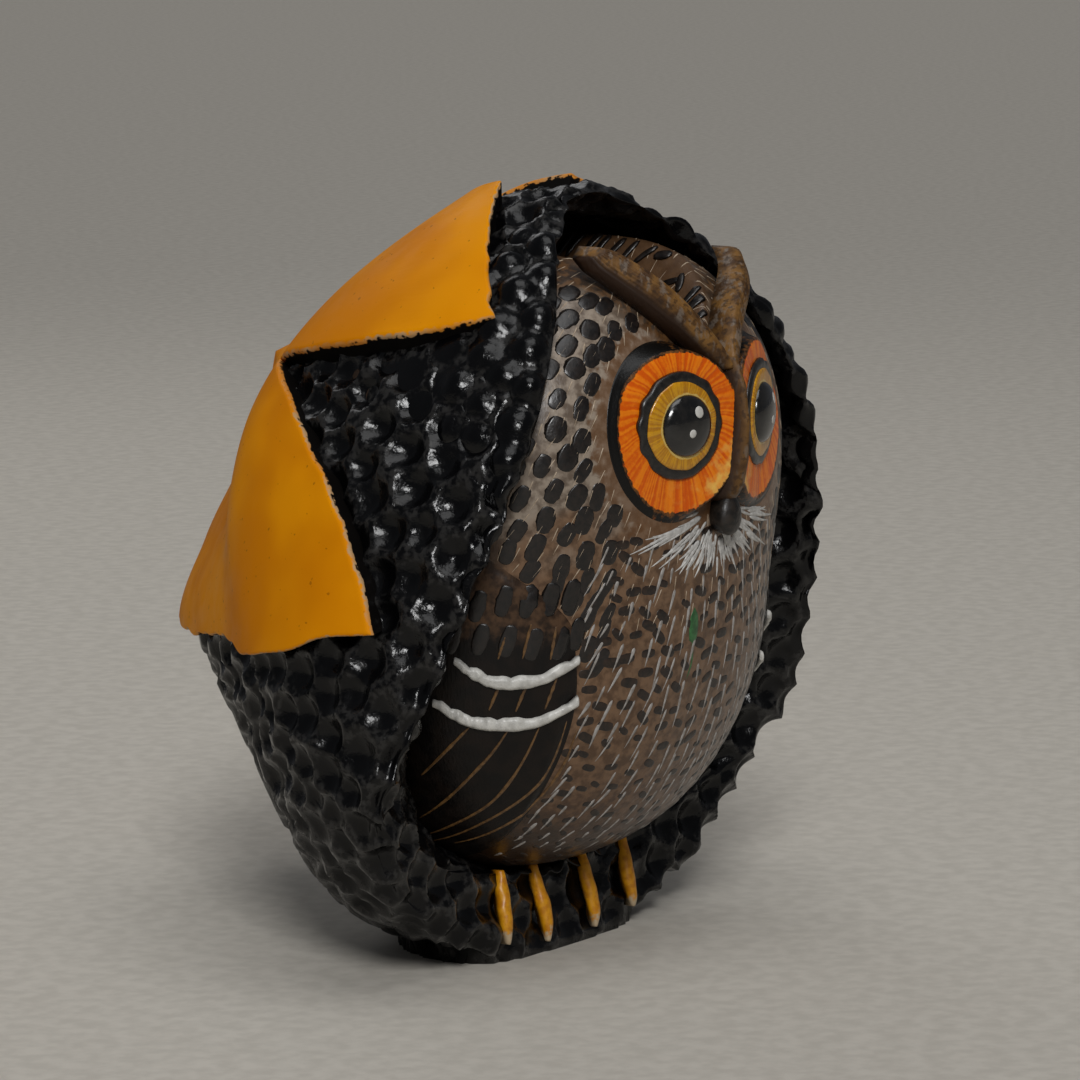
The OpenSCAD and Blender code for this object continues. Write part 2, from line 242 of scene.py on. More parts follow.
def loft(start, rings, finish):
    """A closed solid from a point, through rings of equal count, to another point."""
    rings = np.asarray(rings)
    rows, count = rings.shape[:2]
    points = np.concatenate([[start], rings.reshape(-1, 3), [finish]])
    j = np.arange(count)
    k = (j + 1) % count
    first = 1 + count * np.arange(rows - 1)[:, None]
    quads = np.stack([first + j, first + k, first + count + k, first + count + j], -1)
    last = 1 + (rows - 1) * count
    caps = [np.stack([0 * j, 1 + k, 1 + j], 1), np.stack([0 * j + last + count, last + j, last + k], 1)]
    return outward(points, quads.reshape(-1, 4), np.concatenate(caps))


def joined(solids):
    """Several solids as one."""
    points, quads, tris, count = [], [], [], 0
    for p, q, t in solids:
        points.append(p)
        quads.append(q + count)
        tris.append(t + count)
        count += len(p)
    return np.concatenate(points), np.concatenate(quads), np.concatenate(tris)


def piece(name, solid, paint, slot, stands_for=(), **marks):
    """A visible piece that rides with the figurine; marks are numbers for each of its points."""
    points, quads, tris = solid
    mesh = bpy.data.meshes.new(name)
    mesh.from_pydata((points * MM).tolist(), [], quads.tolist() + tris.tolist())
    mesh.shade_smooth()
    for mark, values in marks.items():
        mesh.attributes.new(mark, "FLOAT", "POINT").data.foreach_set("value", np.float32(values))
    mesh.materials.append(paint)
    obj = bpy.data.objects.new(name, mesh)
    bpy.context.scene.collection.objects.link(obj)
    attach(obj, "root")
    if stands_for:
        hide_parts(*stands_for)
    return obj


def nearest(points, centres, reach=None):
    """For each point, the index of and the distance to its nearest centre."""
    index, distance = np.zeros(len(points), int), np.zeros(len(points))
    for i in range(0, len(points), 4096):
        block = points[i:i + 4096]
        gap = ((block**2).sum(1)[:, None] - 2 * block @ centres.T + (centres**2).sum(1))
        index[i:i + 4096] = gap.argmin(1)
        distance[i:i + 4096] = np.sqrt(np.maximum(gap.min(1), 0))
    return index, distance


def spread_evenly(points, pitch, rounds=4):
    """Indices of points about one pitch apart, packed like a loose honeycomb."""
    chosen = [0]
    gap = np.linalg.norm(points - points[0], axis=1)
    while gap.max() > 0.8 * pitch:
        chosen.append(int(gap.argmax()))
        gap = np.minimum(gap, np.linalg.norm(points - points[chosen[-1]], axis=1))
    centres = points[chosen]
    for _ in range(rounds):
        owner, _unused = nearest(points, centres)
        count = np.maximum(np.bincount(owner, minlength=len(centres)), 1)[:, None]
        centres = np.stack([np.bincount(owner, points[:, k], len(centres)) for k in range(3)], 1) / count
    return np.unique(nearest(centres, points)[0])


# ---------------------------------------------------------------- materials


def shade(red, green, blue):
    """A colour as a paint chart gives it, 0 to 255, in the linear values that shaders use."""
    value = np.array([red, green, blue]) / 255
    return (*np.where(value > 0.04045, ((value + 0.055) / 1.055)**2.4, value / 12.92), 1)


class Paint:
    """A material made from nodes. Its patterns are measured in millimetres."""

    def __init__(self, name, **shader):
        self.material = bpy.data.materials.new(name)
        self.material.use_nodes = True
        self.nodes = self.material.node_tree.nodes
        self.links = self.material.node_tree.links
        self.shader = self.nodes["Principled BSDF"]
        for socket, value in shader.items():
            self.shader.inputs[socket.replace("_", " ")].default_value = value
        in_metres = self.node("ShaderNodeTexCoord").outputs["Object"]
        self.place = self.vector("MULTIPLY", in_metres, (1 / MM,) * 3)

    def node(self, kind, **settings):
        node = self.nodes.new(kind)
        for key, value in settings.items():
            setattr(node, key, value)
        return node

    def put(self, socket, value):
        if isinstance(value, bpy.types.NodeSocket):
            self.links.new(value, socket)
        else:
            socket.default_value = value

    def vector(self, operation, a, b):
        node = self.node("ShaderNodeVectorMath", operation=operation)
        self.put(node.inputs[0], a)
        self.put(node.inputs[1], b)
        return node.outputs["Value"] if operation == "DISTANCE" else node.outputs[0]

    def math(self, operation, a, b=0.0):
        node = self.node("ShaderNodeMath", operation=operation)
        self.put(node.inputs[0], a)
        self.put(node.inputs[1], b)
        return node.outputs[0]

    def noise(self, size, detail=3.0, stretch=(1, 1, 1)):
        """Random blotches of about the given size, longer along the axes with a small stretch."""
        node = self.node("ShaderNodeTexNoise")
        self.put(node.inputs["Vector"], self.vector("MULTIPLY", self.place, stretch))
        self.put(node.inputs["Scale"], 1 / size)
        self.put(node.inputs["Detail"], detail)
        return node.outputs["Fac"]

    def mark(self, name):
        return self.node("ShaderNodeAttribute", attribute_name=name).outputs["Fac"]

    def height(self):
        node = self.node("ShaderNodeSeparateXYZ")
        self.put(node.inputs[0], self.place)
        return node.outputs["Z"]

    def depth(self):
        node = self.node("ShaderNodeSeparateXYZ")
        self.put(node.inputs[0], self.place)
        return node.outputs["Y"]

    def between(self, value, low, high, out_low=0.0, out_high=1.0):
        """value as it goes from low to high, smoothly turned into out_low to out_high."""
        node = self.node("ShaderNodeMapRange", interpolation_type="SMOOTHSTEP")
        for i, number in enumerate((value, low, high, out_low, out_high)):
            self.put(node.inputs[i], number)
        return node.outputs[0]

    def blend(self, part, first, second):
        """first where part is 0, and second where it is 1."""
        node = self.node("ShaderNodeMix", data_type="RGBA")
        self.put(node.inputs[0], part)
        self.put(node.inputs[6], first)
        self.put(node.inputs[7], second)
        return node.outputs[2]

    def finish(self, colour, roughness=None, bumps=()):
        self.put(self.shader.inputs["Base Color"], colour)
        if roughness is not None:
            self.put(self.shader.inputs["Roughness"], roughness)
        normal = None
        for depth, pattern in bumps:
            node = self.node("ShaderNodeBump")
            self.put(node.inputs["Distance"], depth * MM)
            self.put(node.inputs["Height"], pattern)
            if normal is not None:
                self.links.new(normal, node.inputs["Normal"])
            normal = node.outputs["Normal"]
        if normal is not None:
            self.links.new(normal, self.shader.inputs["Normal"])
        return self.material


def black_lacquer():
    """Glossy black over gouge cuts, worn to dark grey along the ridges between them."""
    paint = Paint("black_lacquer", IOR=1.45, Specular_IOR_Level=0.3, Coat_Weight=0.1, Coat_Roughness=0.08)
    ridge = paint.between(paint.mark("ridge"), 0.56, 0.78)
    worn = paint.between(paint.noise(0.8, 4), 0.4, 0.62)
    black = paint.blend(paint.noise(3), shade(2, 2, 3), shade(7, 7, 8))
    colour = paint.blend(paint.math("MULTIPLY", ridge, worn), black, shade(40, 39, 38))
    roughness = paint.between(paint.noise(1.2), 0.3, 0.7, 0.12, 0.26)
    return paint.finish(colour, roughness, [(0.03, paint.noise(0.3)), (0.05, paint.noise(1.2))])


def orange_petal():
    """Satin orange-yellow, with a thin line of bare wood at the crest and black on the wall."""
    paint = Paint("orange_petal", IOR=1.45, Specular_IOR_Level=0.06)
    edge = paint.math("ADD", paint.mark("edge"), paint.between(paint.noise(0.8), 0.3, 0.7, -0.16, 0.16))
    bare = paint.between(paint.noise(7, 2), 0.4, 0.62, 0.25, 1)
    warm = paint.blend(paint.between(paint.noise(14, 2), 0.35, 0.65), shade(210, 126, 2), shade(228, 145, 3))
    speck = paint.between(paint.noise(0.7, 1), 0.735, 0.755)
    colour = paint.blend(paint.math("MULTIPLY", speck, 0.5), warm, shade(120, 66, 8))
    colour = paint.blend(paint.math("MULTIPLY", paint.between(edge, 0.3, 0.12), bare), colour,
                         shade(186, 150, 108))
    colour = paint.blend(paint.between(edge, 0.02, -0.1), colour, shade(14, 12, 11))
    roughness = paint.between(paint.noise(2.5), 0.3, 0.7, 0.44, 0.58)
    grain = paint.noise(0.5, 3, (1, 0.12, 0.3))
    return paint.finish(colour, roughness, [(0.02, grain), (0.12, paint.noise(6, 2))])


def owl_paint():
    """The owl's ground colours: pale grey-brown head, brown breast, ochre round the eyes."""
    paint = Paint("owl_paint", IOR=1.45, Specular_IOR_Level=0.4, Coat_Weight=0.3, Coat_Roughness=0.24)
    high, mottle = paint.height(), paint.noise(1.1, 4)
    wobble = paint.math("ADD", high, paint.between(paint.noise(5), 0.2, 0.8, -4, 4))
    breast = paint.blend(paint.between(mottle, 0.35, 0.65), shade(84, 60, 40), shade(118, 90, 66))
    head = paint.blend(paint.between(mottle, 0.35, 0.65), shade(98, 84, 71), shade(150, 136, 121))
    # The belly is coloured darker than the breast, partly as painted shade for the overhead light falling off towards
    # the bottom.
    belly = paint.blend(paint.between(mottle, 0.35, 0.65), shade(66, 43, 27), shade(98, 68, 42))
    colour = paint.blend(paint.between(wobble, 24, 14), breast, belly)
    colour = paint.blend(paint.between(wobble, 47, 54), colour, head)
    # Painted shade: the owl darkens towards the back, into the hood's mouth, where the hood shades it.
    hood_shade_depth = paint.math("ADD", paint.depth(), paint.between(paint.noise(3), 0.2, 0.8, -2.5, 2.5))
    colour = paint.blend(paint.between(hood_shade_depth, -19, -11), colour, shade(50, 34, 21))
    for side in (RIGHT, LEFT):
        gap = paint.vector("DISTANCE", paint.place, tuple(flipped(side, EYE)))
        ring = paint.between(paint.math("ADD", gap, paint.between(mottle, 0.2, 0.8, -1.5, 1.5)), 12.6, 11)
        colour = paint.blend(paint.math("MULTIPLY", ring, 0.6), colour, shade(104, 66, 28))
    # Under the brows: golden-brown paint, darkened partly as painted shade cast by the brows.
    dark = paint.blend(paint.between(paint.noise(0.9, 4), 0.4, 0.6), shade(46, 31, 19), shade(98, 66, 34))
    colour = paint.blend(paint.math("MULTIPLY", paint.mark("under_brow"), 0.85), colour, dark)
    colour = paint.blend(paint.mark("forehead"), colour, paint.blend(mottle, shade(58, 38, 24), shade(100, 74, 50)))
    roughness = paint.between(paint.noise(0.8), 0.3, 0.7, 0.32, 0.46)
    hairs = paint.noise(0.22, 2, (1, 1, 0.25))
    return paint.finish(colour, roughness, [(0.03, hairs), (0.05, paint.noise(0.6))])


def brow_paint():
    """Ochre brown with grey dry-brush streaks."""
    paint = Paint("brow_paint", IOR=1.45, Specular_IOR_Level=0.35)
    ochre = paint.blend(paint.between(paint.noise(2.2), 0.35, 0.65), shade(70, 46, 23), shade(124, 88, 42))
    grey = paint.between(paint.noise(0.8, 4, (1, 1, 0.35)), 0.52, 0.64)
    colour = paint.blend(paint.math("MULTIPLY", grey, 0.6), ochre, shade(122, 112, 102))
    dark = paint.between(paint.noise(0.6, 4), 0.52, 0.62)
    colour = paint.blend(paint.math("MULTIPLY", dark, 0.6), colour, shade(44, 29, 18))
    # Low edge values are darkened: on the brows this is painted shade on the lower face, which falls back under the
    # crest; on the nose ridge it is the ridge's dark painted outline.
    under = paint.between(paint.mark("edge"), 0.75, 0.3)
    colour = paint.blend(under, colour, shade(44, 27, 15))
    return paint.finish(colour, paint.between(paint.noise(0.7), 0.3, 0.7, 0.42, 0.6),
                        [(0.05, paint.noise(0.35, 3, (1, 1, 0.3)))])


def brushed(name, dark, light, roughness=0.4, coat=0.15, grain=0.3, relief=0.03):
    """Thick brush paint whose tone wanders between two shades."""
    paint = Paint(name, IOR=1.47, Coat_Weight=coat, Coat_Roughness=0.2)
    colour = paint.blend(paint.between(paint.noise(grain * 2), 0.3, 0.7), dark, light)
    rough = paint.between(paint.noise(grain * 3), 0.3, 0.7, roughness - 0.06, roughness + 0.08)
    return paint.finish(colour, rough, [(relief, paint.noise(grain))])


def eye_orange_paint():
    """Orange with fine radial brush lines, lighter low down and yellow at the inner corner."""
    paint = Paint("eye_orange_paint", IOR=1.45, Specular_IOR_Level=0.3, Coat_Weight=0.06, Coat_Roughness=0.15)
    streak = paint.math("ADD", paint.mark("streak"), paint.between(paint.noise(0.5), 0.3, 0.7, -0.15, 0.15))
    colour = paint.blend(paint.between(streak, 0.1, 0.9), shade(214, 88, 4), shade(238, 128, 16))
    corner = paint.math("ADD", paint.mark("corner"), paint.between(paint.noise(1.2), 0.3, 0.7, -0.3, 0.3))
    colour = paint.blend(paint.between(corner, 0.25, 1.1), colour, shade(240, 186, 88))
    rim = paint.math("ADD", paint.mark("rim"), paint.between(paint.noise(0.5), 0.3, 0.7, -0.3, 0.3))
    brown = paint.blend(paint.between(paint.noise(0.6), 0.4, 0.6), shade(44, 27, 15), shade(104, 66, 30))
    colour = paint.blend(paint.between(rim, 0.45, 0.8), colour, brown)
    ink = paint.math("ADD", paint.mark("ink"), paint.between(paint.noise(0.7), 0.3, 0.7, -0.25, 0.25))
    colour = paint.blend(paint.between(ink, 0.4, 0.6), colour, shade(12, 11, 10))
    return paint.finish(colour, 0.34, [(0.03, paint.noise(0.3))])


def iris_paint():
    paint = Paint("iris_paint", IOR=1.5, Coat_Weight=0.4, Coat_Roughness=0.12)
    streak = paint.math("ADD", paint.mark("streak"), paint.between(paint.noise(0.6), 0.3, 0.7, -0.2, 0.2))
    colour = paint.blend(paint.between(streak, 0.1, 0.9), shade(176, 116, 5), shade(206, 148, 14))
    gap = paint.math("ADD", paint.mark("gap"), paint.between(paint.noise(0.8), 0.3, 0.7, -0.1, 0.1))
    colour = paint.blend(paint.between(gap, 3.6, 3.48), colour, shade(214, 180, 96))
    return paint.finish(colour, 0.3, [(0.03, paint.noise(0.35))])


def gloss_black(name):
    paint = Paint(name, IOR=1.55, Coat_Weight=0.6, Coat_Roughness=0.06)
    colour = paint.blend(paint.between(paint.noise(0.8), 0.4, 0.7), shade(8, 8, 8), shade(24, 22, 20))
    return paint.finish(colour, paint.between(paint.noise(0.5), 0.3, 0.7, 0.12, 0.26), [(0.02, paint.noise(0.4))])


def wing_paint():
    """Black-brown flight feathers under a brown shoulder."""
    paint = Paint("wing_paint", IOR=1.45, Specular_IOR_Level=0.3, Coat_Weight=0.05, Coat_Roughness=0.25)
    dark = paint.blend(paint.between(paint.noise(2), 0.35, 0.65), shade(10, 7, 6), shade(22, 15, 11))
    top = paint.blend(paint.between(paint.noise(1), 0.35, 0.65), shade(46, 32, 22), shade(80, 58, 40))
    wobble = paint.math("ADD", paint.height(), paint.between(paint.noise(2), 0.2, 0.8, -1.2, 1.2))
    colour = paint.blend(paint.between(wobble, 37.5, 40.5), dark, top)
    return paint.finish(colour, paint.between(paint.noise(1), 0.3, 0.7, 0.36, 0.5),
                        [(0.04, paint.noise(0.3, 3, (1, 1, 0.3)))])


def toe_paint():
    """Yellow, worn to bare wood at the tip."""
    paint = Paint("toe_paint", IOR=1.48, Coat_Weight=0.15, Coat_Roughness=0.25)
    yellow = paint.blend(paint.between(paint.noise(0.7), 0.35, 0.65), shade(190, 120, 5), shade(214, 148, 12))
    worn = paint.math("ADD", paint.mark("down"), paint.between(paint.noise(0.6), 0.3, 0.7, -0.06, 0.06))
    colour = paint.blend(paint.between(worn, 0.8, 0.9), yellow, shade(190, 168, 136))
    return paint.finish(colour, 0.42, [(0.05, paint.noise(0.5))])


# ---------------------------------------------------------------- the shell

SKIN_ROWS = 170
AROUND = 460
SCOOP_PITCH = 4.3
SCOOP_DEPTH = 1.75
SCOOP_RADIUS = 2.65
CONTACT = 78  # the body touches the hollow from this tilt back


def even_stations(start, end, count):
    """Stations spaced evenly along the shell's profile."""
    u = np.linspace(start, end, 400)
    walk = outside(u[:, None], np.arange(0, 360, 30))
    steps = np.linalg.norm(np.diff(walk, axis=0), axis=-1).mean(axis=1)
    length = np.concatenate([[0], np.cumsum(steps)])
    return np.interp(np.linspace(0, length[-1], count), length, u)


def shell_rings():
    """Rings over the outside, round the edge, down the bevel and on to the contact with the owl."""
    a = 360 * np.arange(AROUND) / AROUND
    skin = gouged(even_stations(0.1, EDGE, SKIN_ROWS)[:, None], a)
    edge = outside(EDGE, a)
    bevel = mix(edge, mouth_point(a, 0.75, 1), 0.5)
    walls = [edge, bevel, mouth_point(a, 0.5, 1), mouth_point(a, 0.2, 0.7), body_polar(CONTACT, ray(a))]
    steps = np.concatenate([np.arange(1, 15) / 14, 1 + np.arange(1, 13) / 12, 2 + np.arange(1, 7) / 6, [4]])
    inner = curve_through(np.stack(walls).reshape(len(walls), -1), steps).reshape(len(steps), AROUND, 3)
    seat = [body_polar(tilt, ray(a)) for tilt in (60, 42, 22)]
    gouged_rows = SKIN_ROWS + 24
    return np.concatenate([skin, inner, np.stack(seat)]), gouged_rows


def ring_normals(rings):
    """Outward directions, rounded over the sharp edge so that it keeps its thickness."""
    down = np.gradient(rings, axis=0)
    across = np.roll(rings, -1, 1) - np.roll(rings, 1, 1)
    normals = unit(np.cross(across, down))
    if (normals[60] * (rings[60] - MIDDLE)).sum() < 0:
        normals = -normals
    reach = 8
    weights = np.exp(-0.5 * (np.arange(-reach, reach + 1) / 3)**2)
    padded = np.pad(normals, ((reach, reach), (0, 0), (0, 0)), mode="edge")
    return unit(sum(w * padded[i:i + len(normals)] for i, w in enumerate(weights)))


def scooped(rings, gouged_rows):
    """The rings with a gouge cut at each place of a loose honeycomb, and how ridge-like each point is."""
    normals = ring_normals(rings)
    across = np.linalg.norm(np.roll(rings, -1, 1) - rings, axis=-1)
    down = np.linalg.norm(np.gradient(rings, axis=0), axis=-1)
    usable = (across * down)[:gouged_rows] * (rings[:gouged_rows, :, 2] > 0.4)
    flat = rings.reshape(-1, 3)
    some = chance.choice(usable.size, 24000, replace=False, p=usable.ravel() / usable.sum())
    centres = flat[some][spread_evenly(flat[some], SCOOP_PITCH, 10)]
    wide = SCOOP_RADIUS * chance.uniform(0.9, 1.1, len(centres))
    deep = SCOOP_DEPTH * chance.uniform(0.75, 1.1, len(centres))
    bowl = 1.7  # how round the bottom of a cut is
    cut = np.zeros(len(flat))
    for i in range(0, len(flat), 4096):
        block = flat[i:i + 4096]
        gap = (block**2).sum(1)[:, None] - 2 * block @ centres.T + (centres**2).sum(1)
        reach = np.sqrt(np.maximum(gap, 0)) / wide
        cut[i:i + 4096] = (deep * (1 - reach**bowl)).max(1)
    cut = np.maximum(cut, 0).reshape(rings.shape[:2])
    row = np.arange(len(rings))[:, None]
    at_edge = 1 - 0.35 * np.exp(-((row - SKIN_ROWS) / 2.5)**2)
    fade = smooth((gouged_rows + 4 - row) / 6) * smooth((rings[..., 2] - 0.1) / 0.8) * at_edge
    moved = rings - normals * (cut * fade)[..., None]
    moved[..., 2] = np.where(rings[..., 2] <= 0, 0, np.maximum(moved[..., 2], 0))
    return moved, 1 - cut / SCOOP_DEPTH


def shell():
    rings, ridge = scooped(*shell_rings())
    start = gouged(0, 0)
    finish = body_polar(0, 0)
    piece("carved_shell", loft(start, rings, finish), black_lacquer(), "black_lacquered_wood",
          ["shell"], ridge=np.concatenate([[1], ridge.ravel(), [0]]))


# ---------------------------------------------------------------- petals

SEAM = 52
PETAL_ROUNDING = 0.55
PETAL_ROOT = 1.3  # how far a petal's wall goes on below the black surface


def spread(v):
    return np.maximum((v - 0.5) / 0.5, 0)


def petal_place(upper, v, w):
    """Station and angle of a petal's point: v from tip to end, w from upper to lower edge."""
    if upper:
        return v * (5.75 + 1.15 * w), mix(11.5 * spread(v)**1.2, SEAM - 11 * spread(v)**1.6, w)
    length = 3.8 + 0.9 * (1 - w)**0.8 + 2.1 * np.exp(-w / 0.15)
    return v * length, mix(SEAM + 26 * spread(v)**1.3, 180 - 17 * spread(v)**1.3, w)


def petal(side, upper):
    """A smooth raised petal with a rounded crest and a wall that goes down into the black."""
    v = np.sin(np.radians(np.linspace(1.5, 90, 110)))[:, None]
    w = (0.5 - 0.5 * np.cos(np.pi * np.linspace(0, 1, 110)))[None, :]
    u, a = petal_place(upper, v, w)
    loose = smooth((v - 0.5) / 0.15)
    long_edges = mix(wander(v, 6, 4, 16), wander(v, 6, 4, 16), w)
    a = a + 0.13 * loose * long_edges
    u = u * (1 + 0.004 * smooth((v - 0.8) / 0.2) * wander(w * np.ones_like(v), 6, 3, 12))
    top = outside(u, a)
    top = top + unit(top - MIDDLE) * (0.9 * v**5 * np.abs(2 * w - 1)**3)[..., None]
    free = np.concatenate([top[-1], top[v[:, 0] > 0.52, 0], top[v[:, 0] > 0.52, -1]])
    border = nearest(top.reshape(-1, 3), free)[1].reshape(u.shape)
    inside = np.clip(PETAL_ROUNDING - border, 0, None)
    rounding = PETAL_ROUNDING - np.sqrt(PETAL_ROUNDING**2 - inside**2)
    full = gouged_depth(u) + PETAL_ROOT + 0.9 * v**5 * np.abs(2 * w - 1)**3
    wall = np.linspace(0, 1, 9)[1:-1]

    def ring(row, least):
        """One row's ring: over the top, down the lower wall, back underneath and up again."""
        depths = [np.maximum(rounding[row], least * full[row])]
        places = [top[row]]
        for end, steps in ((-1, wall), (None, None), (0, wall[::-1])):
            if steps is None:
                places.append(top[row][::-1])
                depths.append(full[row][::-1])
            else:
                places.append(np.repeat(top[row][end][None], len(steps), 0))
                depths.append(np.maximum(mix(rounding[row][end], full[row][end], steps), least * full[row][end]))
        places, depths = np.concatenate(places), np.concatenate(depths)
        return sunk(places, depths), depths

    made = [ring(row, 0) for row in range(len(v))] + [ring(-1, least) for least in wall]
    rings = np.stack([m[0] for m in made])
    depths = np.stack([m[1] for m in made])
    back = border[:, ::-1]
    side_wall = np.zeros((len(v), len(wall)))
    reach = np.concatenate([border, side_wall + border[:, -1:], back, side_wall + border[:, :1]], 1)
    reach = np.concatenate([reach, np.repeat(reach[-1:], len(wall), 0)])
    edge = np.where(depths > PETAL_ROUNDING, -(depths - PETAL_ROUNDING), reach)
    name = f"petal_{'upper' if upper else 'lower'}_{'right' if side == RIGHT else 'left'}"
    start, finish = sunk(outside(0, 0), 0.0), rings[-1].mean(axis=0)
    solid = loft(flipped(side, start), flipped(side, rings), flipped(side, finish))
    piece("smooth_" + name, solid, PETAL_PAINT, "orange_satin_wood", [name],
          edge=np.concatenate([[9], edge.ravel(), [-1]]))


# ---------------------------------------------------------------- the owl's body and its marks

# The crest of the brow on the owl's right, from between the eyes to the tip of the ear tuft
BROW_LINE = np.array([[-0.6, -29.3, 65.8], [-4.4, -27.5, 70.3], [-8.4, -24.7, 74.6], [-12.4, -20.2, 78.6]])
LEFT_TUFT = np.array([-1.3, -1.2, -1.8])  # how the tuft on the owl's left differs: out, forward, down
LEFT_TUFT_WIDTH = 1.3
VALLEY = 5.4  # depth of the hollow between the brows


def above_brow(p):
    """How far a point lies above the line of the brows, seen from the front."""
    return p[..., 2] - np.interp(np.abs(p[..., 0]), -BROW_LINE[:, 0], BROW_LINE[:, 2])


def hollowed(p):
    """The points of the body's surface, sunk into a valley between the two brows."""
    front = smooth((9 - p[..., 1]) / 12)
    depth = VALLEY * front * smooth((above_brow(p) - 2.0) / 4) * smooth((14 - np.abs(p[..., 0])) / 8)
    return p - unit(p - BODY_MIDDLE) * depth[..., None]


def owl_body():
    a = 360 * np.arange(300) / 300
    tilts = np.concatenate([[6, 22, 42, 60, 70], np.linspace(CONTACT, 178.8, 120)])
    plain = body_polar(tilts[:, None], ray(a))
    rings = hollowed(plain)
    over = above_brow(plain)
    forehead = smooth((over - 0.3) / 1.5)
    # Below the brow line: golden-brown paint that also stands for painted shade cast by the brows.
    under_brow = smooth((over + 5.2) / 2.2) * (1 - forehead)
    tip = body_point(0, BODY_MIDDLE[2])
    piece("owl_head_and_body", loft(body_polar(0, 0), rings, tip), OWL_PAINT, "painted_owl_wood", ["owl_body"],
          forehead=np.concatenate([[0], forehead.ravel(), [0]]),
          under_brow=np.concatenate([[0], under_brow.ravel(), [0]]))


def body_samples(count=30000):
    """Points spread over the front of the body by area, on both sides."""
    tilt, t = np.meshgrid(np.linspace(88, 178, 500), np.linspace(-180, 180, 1200, endpoint=False), indexing="ij")
    p = body_polar(tilt, t)
    area = np.linalg.norm(np.cross(np.gradient(p, axis=0), np.gradient(p, axis=1)), axis=-1)
    some = chance.choice(area.size, count, replace=False, p=area.ravel() / area.sum())
    return p.reshape(-1, 3)[some]


def flow(p):
    """The way the feathers lie: down and back, along the surface."""
    out = body_out(p)
    way = np.array([0, 0.5, -1.0]) + np.zeros_like(p)
    way[..., 0] = 0.25 * np.sign(p[..., 0]) * smooth(np.abs(p[..., 0]) / 12)
    return unit(way - out * (way * out).sum(-1, keepdims=True))


def turned(way, out, angle):
    """way turned round the outward direction."""
    side = np.cross(out, way)
    return way * cos(angle)[..., None] + side * sin(angle)[..., None]


STROKE = np.linspace(0, 1, 9)


def stroke(line, width, rise, lift=0.0, shape=STROKE):
    """One raised brush mark: line is its middle on the body, and width its half-widths."""
    out = body_out(line)
    across = unit(np.cross(unit(np.gradient(line, axis=0)), out))
    tall = rise * np.minimum(1, width / max(width.max(), 1e-6) * 1.6)
    seat = hollowed(line)
    if np.abs(seat - line).max() > 0.05:
        along = unit(np.gradient(seat, axis=0))
        beside = hollowed(onto_body(line + 0.4 * across)) - hollowed(onto_body(line - 0.4 * across))
        out = unit(np.cross(beside, along)) * np.sign((np.cross(beside, along) * out).sum(-1, keepdims=True))
        across = unit(beside)
    seat = seat + out * np.asarray(lift)[..., None]
    rings = [seat + across * (k * width)[:, None] + out * (h * tall - (1 - h) * 0.06)[:, None]
             for k, h in ((-1, 0), (-0.62, 0.85), (0, 1), (0.62, 0.85), (1, 0))]
    rings = np.stack(rings, 1)[1:-1]
    return loft(seat[0] - out[0] * 0.04, rings, seat[-1] - out[-1] * 0.04)


def oval(centre, way, length, width, rise=0.07, lift=0.0):
    """A rounded mark, fullest at its middle."""
    line = onto_body(centre + way * ((STROKE - 0.5) * length)[:, None])
    full = np.sqrt(np.clip(1 - (2 * STROKE - 1)**2, 0, 1))**0.8
    full = full * (1 + 0.06 * chance.uniform(-1, 1, len(STROKE)))
    return stroke(line, width / 2 * full, rise, lift)


def dash(start, way, length, width, rise=0.08, bend=0.0, lift=0.0):
    """A brush stroke that lands full and is drawn out to a point."""
    side = np.cross(body_out(start), way)
    path = start + way * (STROKE * length)[:, None] + side * (bend * STROKE**2)[:, None]
    full = np.clip(STROKE / 0.18, 0, 1)**0.5 * np.clip((1 - STROKE) / 0.75, 0, 1)**0.8
    return stroke(onto_body(path), width / 2 * full, rise, lift)


def along_curve(points, width, rise, steps=24, lift=0.0, taper=0.7):
    """A mark that follows a smooth curve through points, pointed at both ends."""
    t = np.linspace(0, 1, steps)
    line = onto_body(curve_through(points, t * (len(points) - 1)))
    full = np.clip(np.sin(np.pi * t), 0, 1)**taper
    return stroke(line, width / 2 * full, rise, lift)


# Eyes: a frame set on the face, turned outwards
EYE = np.array([-7.9, -26.9, 59.4])
EYE_TURN = 17
DISC_RADIUS = 8.8
DISC_RISE = 0.5
IRIS_RISE = 0.5
IRIS_LIFT = 0.8
RING_RADIUS = 5.65
IRIS_RADIUS = 4.7
PUPIL_RADIUS = 3.35
PUPIL_BULGE = 1.3


def eye_point(side, r, a, rise, lift=0.0):
    """A point of the eye's frame: a runs from the top towards the middle of the face."""
    r, a, rise = (np.asarray(k, float) for k in (r, a, rise))
    out = np.array([-sin(EYE_TURN), -cos(EYE_TURN), 0])
    across = np.array([cos(EYE_TURN), -sin(EYE_TURN), 0])
    p = EYE + (r * sin(a))[..., None] * across + rise[..., None] * out
    p = p + (r * cos(a) + lift)[..., None] * np.array([0, 0, 1.0])
    return flipped(side, p)


def aside(side, p):
    """How far points lie across and above the eye's middle, in the plane of its disc."""
    q = flipped(side, p) - EYE
    return q[..., 0] * cos(EYE_TURN) - q[..., 1] * sin(EYE_TURN), q[..., 2]


def wing_front(t):
    """The tilt of the wing's front border at ray angle t."""
    upper = mix(138, 116, (np.clip(107 - t, 0, None) / 23)**2)
    lower = mix(138, 92, (np.clip(t - 107, 0, 50) / 50)**3.2)
    return np.where(t < 107, upper, lower)


